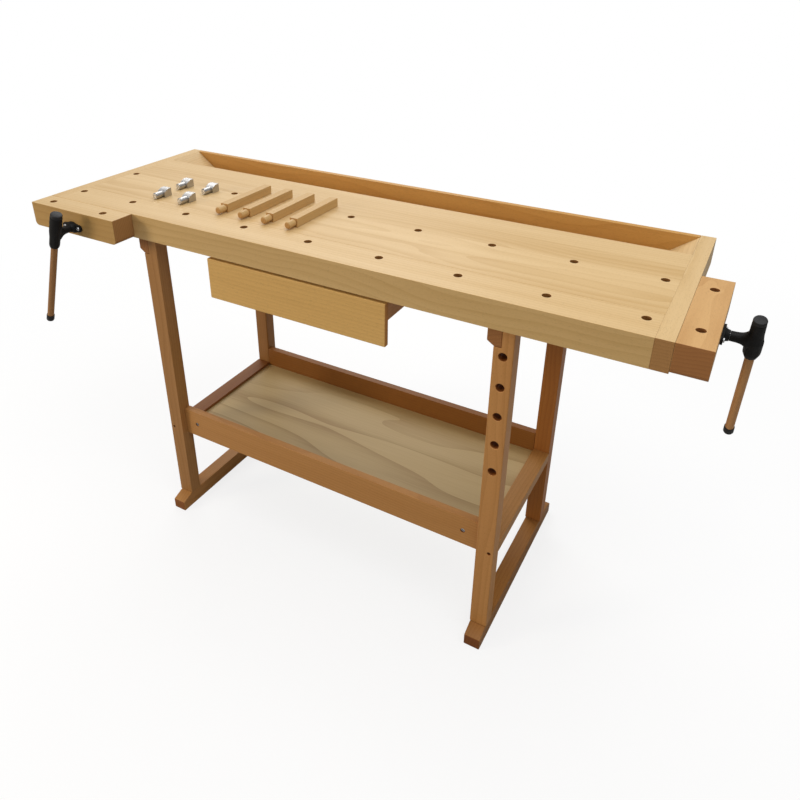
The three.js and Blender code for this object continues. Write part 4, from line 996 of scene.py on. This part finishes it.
# The flanges: black cast plates with two rounded ears and a tapered collar, screwed to the jaw round the
# screw's neck. One bright screw holds each ear.
FLANGE_T = 0.004
FLANGE_HOLE_R = 0.0025
FLANGE_HOLE_OUT = 0.022
EAR_R = 0.0085
COLLAR_ROOT_R = 0.0132
COLLAR_TIP_R = 0.0096
COLLAR_SINK = 0.003
COLLAR_STEP_IN = 0.0020
COLLAR_STEP_OUT = 0.0022
SCREW_HEAD = {"head_r": 0.0044, "head_h": 0.0024, "socket_r": 0.0018, "socket_depth": 0.0014}
SCREW_SEAT_GAP = 0.0002
FLANGE_GAP = 0.0003
FLANGE_ARRIS = 0.0008


def flange_outline(half_length, half_height, steps=72):
    """An eared oval: between the ears' circles the height falls off as cosine squared from the middle."""
    turn_angle = full_turn(steps)
    ear_middle = half_length - EAR_R
    along = half_length * np.cos(turn_angle)
    way = np.clip(np.abs(along) / ear_middle, 0, 1)
    bulge = EAR_R + (half_height - EAR_R) * np.cos(way * np.pi / 2) ** 2
    past_ear = np.clip(np.abs(along) - ear_middle, 0, EAR_R) / EAR_R
    tip = np.sqrt(np.clip(1 - past_ear ** 2, 0, 1))
    return np.stack([along, np.sign(np.sin(turn_angle)) * bulge * tip], axis=1)


for name, vise in VISES.items():
    low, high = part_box(f"{name}_flange")
    face, out, side = vise["face"], vise["out"], vise["side"]
    half_length = abs((high - low).dot(side)) / 2
    half_height = (high - low).z / 2
    collar_end = max((low - face).dot(out), (high - face).dot(out))
    vise["collar_end"] = collar_end
    plate_outline = flange_outline(half_length, half_height)
    plate_end = FLANGE_GAP + FLANGE_T
    if name == "front_vise":
        placed = [(face.z + v, face.x + u) for u, v in plate_outline]
        flange = carried(f"{name}_flange_cast", placed, "Y", face.y - plate_end, face.y - FLANGE_GAP)
    else:
        placed = [(face.y + u, face.z + v) for u, v in plate_outline]
        flange = carried(f"{name}_flange_cast", placed, "X", face.x + FLANGE_GAP, face.x + plate_end)
    in_plate = plate_end - COLLAR_SINK
    collar_profile = [(0, in_plate), (COLLAR_ROOT_R, in_plate), (COLLAR_ROOT_R, plate_end),
                      (COLLAR_ROOT_R - COLLAR_STEP_IN, plate_end + COLLAR_STEP_OUT),
                      (COLLAR_TIP_R, collar_end), (0, collar_end)]
    combined(flange, turned(f"{name}_collar", collar_profile, face, out), "UNION")
    behind = out * DRILL_PAST
    holes = [(tuple(face - behind), tuple(face + out * (collar_end + DRILL_PAST)), NECK_R + BORE_CLEAR)]
    for label, sign in (("left", -1), ("right", 1)):
        ear = face + side * (sign * FLANGE_HOLE_OUT)
        holes.append((tuple(ear - behind), tuple(ear + out * (FLANGE_T + DRILL_PAST)), FLANGE_HOLE_R))
        head_seat = ear + out * (plate_end + SCREW_SEAT_GAP)
        fastener(f"{name}_flange_screw_{label}", body_of[f"{name}_flange"], head_seat, out, **SCREW_HEAD)
    drilled(flange, holes)
    dressed(eased(flange, FLANGE_ARRIS), f"{name}_flange", casting_black)


# The tee hubs: black castings on the ends of the screws, with a barrel across the neck for the bar.
# One half is stouter, and is turned up on the front vise and down on the tail vise. A fillet joins the neck.
HUB_OUT = 0.050
HUB_DOWN = 0.038
HUB_UP = 0.044
HUB_BORE_R = 0.0083
HUB_VOXEL = 0.0008
HUB_RELAX = 4
RELAX_SHARE = 0.5
OCTAGON_START = 0.004
OCTAGON_RUN = 0.008
OCTAGON_EASE = 1.04
NECK_GAP = 0.0003
NECK_CAST_R = 0.0090
NECK_FLARE_TALL = 0.0125
NECK_FLARE_WIDE = 0.0035
NECK_IN_BARREL = 0.002
FLARE_SHORT = 0.010
BARREL_PROFILES = {
    "front_vise": ((-HUB_DOWN, 0.0100), (-0.0355, 0.0110), (-0.0300, 0.0118), (-0.0100, 0.0120),
                   (0.0000, 0.0130), (0.0090, 0.0136), (HUB_UP, 0.0136)),
    "tail_vise": ((-HUB_DOWN, 0.0104), (-0.0365, 0.0110), (-0.0285, 0.0138), (-0.0200, 0.0142),
                  (0.0020, 0.0142), (0.0090, 0.0128), (0.0200, 0.0117), (HUB_UP, 0.0112))}


def hub_barrel(name, barrel_profile, middle, bar, out, rows=90, count=96):
    """A barrel along the bar: its radius follows the profile, and below the neck it is pressed to an octagon,
    whose radius is cos(22.5°) / cos(angle folded into an eighth of a turn), eased out and at most 1."""
    distance = np.linspace(-HUB_DOWN, HUB_UP, rows)
    profile = np.interp(distance, *np.transpose(barrel_profile))
    angle = full_turn(count)
    folded = np.mod(angle, np.pi / 4) - np.pi / 8
    octagon = np.minimum(OCTAGON_EASE * np.cos(np.pi / 8) / np.cos(folded), 1.0)
    share = np.clip((-distance - OCTAGON_START) / OCTAGON_RUN, 0, 1)[:, None]
    radius = profile[:, None] * (1 + share * (octagon - 1))
    radius = np.vstack([np.zeros(count), radius, np.zeros(count)])
    distance = np.concatenate([[-HUB_DOWN], distance, [HUB_UP]])
    side = np.cross(bar, out)
    ring = np.cos(angle)[:, None] * np.asarray(out) + np.sin(angle)[:, None] * side
    return skinned(name, middle, bar, distance, radius[..., None] * ring)


def hub_neck(name, face, out, bar, start, rows=40, count=64):
    """A neck along the screw: an ellipse whose half height and half width grow as powers of the way out."""
    distance = np.linspace(start, HUB_OUT - NECK_IN_BARREL, rows)
    way = np.clip((distance - start) / (HUB_OUT - FLARE_SHORT - start), 0, 1)
    tall = NECK_CAST_R + NECK_FLARE_TALL * way ** 6
    wide = NECK_CAST_R + NECK_FLARE_WIDE * way ** 3
    tall, wide = np.pad(tall, 1), np.pad(wide, 1)
    distance = np.pad(distance, 1, mode="edge")
    angle = full_turn(count)
    upward = np.sin(angle)[:, None] * np.asarray(bar)
    sideways = np.cos(angle)[:, None] * np.cross(bar, out)
    ring = tall[:, None, None] * upward + wide[:, None, None] * sideways
    return skinned(name, face, out, distance, ring)


def cast_skin(piece):
    """Rebuilds a joined shape as one skin of even cells and relaxes it, which leaves a casting's fillets."""
    remesh = piece.modifiers.new("skin", "REMESH")
    remesh.mode = "VOXEL"
    remesh.voxel_size = HUB_VOXEL
    relax = piece.modifiers.new("relax", "SMOOTH")
    relax.factor = RELAX_SHARE
    relax.iterations = HUB_RELAX
    return settled(piece)


for name, vise in VISES.items():
    face, out = vise["face"], vise["out"]
    bar = joint_axis[vise["handle"]].normalized()
    vise["bar"] = bar
    middle = face + out * HUB_OUT
    vise["hub"] = middle
    hub = hub_barrel(f"{name}_hub_cast", BARREL_PROFILES[name], middle, bar, out)
    combined(hub, hub_neck(f"{name}_hub_neck", face, out, bar, vise["collar_end"] - DRILL_PAST), "UNION")
    cast_skin(hub)
    bore_foot = tuple(middle - bar * (HUB_DOWN + DRILL_PAST))
    bore_head = tuple(middle + bar * (HUB_UP + DRILL_PAST))
    neck_face = tuple(face + out * (vise["collar_end"] + NECK_GAP))
    drilled(hub, [(bore_foot, bore_head, HUB_BORE_R), (tuple(face), neck_face, 2 * NECK_R)], count=48)
    dressed(smoothed(hub, degrees=50), f"{name}_hub", casting_black)


# The bars: turned beech, stained darker by hands, that slide through the hubs.
# A moulded head stops each at the top, and a moulded cap closes its lower end.
BAR_R = 0.00775
BAR_CHAMFER = 0.001
HEAD_R = {"front_vise": 0.0130, "tail_vise": 0.0110}
CAP_R = 0.0092
BAR_TONES = {"front_vise": ((0.37, 0.185, 0.068, 1.0), (0.245, 0.105, 0.033, 1.0)),
             "tail_vise": ((0.57, 0.290, 0.108, 1.0), (0.39, 0.168, 0.053, 1.0))}
HEAD_FOOT = 0.0443
HEAD_TOP = 0.0536
BAR_TOP = 0.0503
BAR_END = -0.2597
CAP_END = -0.2640
CAP_MOUTH = -0.2470
SEAT_R = 0.00805
SEAT_GAP = 0.0003
HEAD_BLACK = (0.020, 0.020, 0.021, 1.0)
HEAD_WORN = (0.060, 0.060, 0.062, 1.0)
head_plastic = black_casting("bar_head_plastic", HEAD_BLACK, HEAD_WORN, 0.48)
BAR_PROFILE = [(0, BAR_END), (BAR_R - BAR_CHAMFER, BAR_END), (BAR_R, BAR_END + BAR_CHAMFER),
               (BAR_R, BAR_TOP - BAR_CHAMFER), (BAR_R - BAR_CHAMFER, BAR_TOP), (0, BAR_TOP)]
CAP_PROFILE = [(0, CAP_END), (CAP_R - 0.0026, CAP_END + 0.0002), (CAP_R - 0.0008, CAP_END + 0.0012),
               (CAP_R, CAP_END + 0.0032), (CAP_R, CAP_MOUTH - 0.0008), (CAP_R - 0.0006, CAP_MOUTH),
               (SEAT_R, CAP_MOUTH), (SEAT_R, BAR_END - SEAT_GAP), (0, BAR_END - SEAT_GAP)]
for name, seed in (("front_vise", 95.0), ("tail_vise", 98.2)):
    bar, middle = VISES[name]["bar"], VISES[name]["hub"]
    upright = tuple(bar.rotation_difference(Vector((0, 0, 1))).to_euler())
    bar_beech = beech(f"{name}_bar_beech", "Z", *BAR_TONES[name], seed, upright, gloss=0.62)
    facing_axis[bar_beech.name] = bar
    head_r = HEAD_R[name]
    head_profile = [(SEAT_R, HEAD_FOOT), (head_r - 0.0006, HEAD_FOOT), (head_r, HEAD_FOOT + 0.0006),
                    (head_r, HEAD_TOP - 0.0024), (head_r - 0.0007, HEAD_TOP - 0.0010),
                    (head_r - 0.0024, HEAD_TOP - 0.0003), (0, HEAD_TOP), (0, BAR_TOP + SEAT_GAP),
                    (SEAT_R, BAR_TOP + SEAT_GAP), (SEAT_R, HEAD_FOOT)]
    for part, profile, finish in (("bar", BAR_PROFILE, bar_beech), ("bar_head", head_profile, head_plastic),
                                  ("bar_cap", CAP_PROFILE, head_plastic)):
        piece = turned(f"{name}_{part}_turned", profile, middle, bar)
        dressed(smoothed(piece, degrees=35), f"{name}_{part}", finish)


# The pegs: square beech bars with a round spigot turned on one end, left lying on the top.
# They plug into the holes of the right front leg to hold up a long board.
SPIGOT_R = 0.0081
SPIGOT_L = 0.024
NOSE_R = 0.0035
NOSE_STEPS = 7
RELIEF_DEPTH = 0.0009
RELIEF_START = 0.0016
RELIEF_FULL = 0.0010
JOIN_PAST = 0.001
PEG_ARRIS = 0.0022
PEG_PALE = (0.57, 0.368, 0.150, 1.0)
PEG_DEEP = (0.45, 0.258, 0.092, 1.0)
PEG_ENDS = ((1.10, 1.05, 1.0), (0.90, 0.82, 0.74))
for number, seed in ((1, 101.0), (2, 104.3), (3, 107.9), (4, 110.2)):
    low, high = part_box(f"peg_{number}")
    shoulder = low.y + SPIGOT_L
    section = flipped(rectangle(low.x, high.x, low.z, high.z))
    peg = carried(f"peg_{number}_planed", section, "Y", shoulder, high.y)
    quarter = np.linspace(0, np.pi / 2, NOSE_STEPS)
    nose = np.stack([SPIGOT_R - NOSE_R + NOSE_R * np.sin(quarter), NOSE_R - NOSE_R * np.cos(quarter)], axis=1)
    relief_r = SPIGOT_R - RELIEF_DEPTH
    spigot_profile = [(0, 0), *nose.tolist(), (SPIGOT_R, SPIGOT_L - RELIEF_START),
                      (relief_r, SPIGOT_L - RELIEF_FULL), (relief_r, SPIGOT_L + JOIN_PAST),
                      (0, SPIGOT_L + JOIN_PAST)]
    spigot_foot = ((low.x + high.x) / 2, low.y, (low.z + high.z) / 2)
    spigot = turned(f"peg_{number}_spigot", spigot_profile, spigot_foot, (0, 1, 0), count=40)
    combined(peg, spigot, "UNION")
    peg_beech = beech(f"peg_{number}_beech", "Y", PEG_PALE, PEG_DEEP, seed, ends=PEG_ENDS)
    dressed(eased(peg, PEG_ARRIS), f"peg_{number}", peg_beech)


# The bench dogs: plated steel, a round stem under a square head with a sloped working face, lying on their
# sides. The head's arrises are rounded and the stem's end is chamfered.
STEM_R = 0.00775
STEM_L = 0.022
SLOPE_RUN = 0.012
SLOPE_DROP = 0.006
STEM_CHAMFER = 0.0018
DOG_ARRIS = 0.0012
dog_steel = bright_steel("dog_plated_steel", (0.60, 0.585, 0.57, 1.0), 0.36)
for number in (1, 2, 3, 4):
    low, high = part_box(f"bench_dog_{number}")
    neck = low.y + STEM_L
    head_outline = [(neck, low.z), (high.y, low.z), (high.y, high.z), (neck + SLOPE_RUN, high.z),
                    (neck, high.z - SLOPE_DROP)]
    dog = carried(f"bench_dog_{number}_forged", head_outline, "X", low.x, high.x)
    stem_top = STEM_L + JOIN_PAST
    stem_profile = [(0, 0), (STEM_R - STEM_CHAMFER, 0), (STEM_R, STEM_CHAMFER),
                    (STEM_R, stem_top), (0, stem_top)]
    stem_foot = ((low.x + high.x) / 2, low.y, low.z + STEM_R)
    stem = turned(f"bench_dog_{number}_stem", stem_profile, stem_foot, (0, 1, 0), count=40)
    combined(dog, stem, "UNION")
    dressed(eased(dog, DOG_ARRIS), f"bench_dog_{number}", dog_steel)
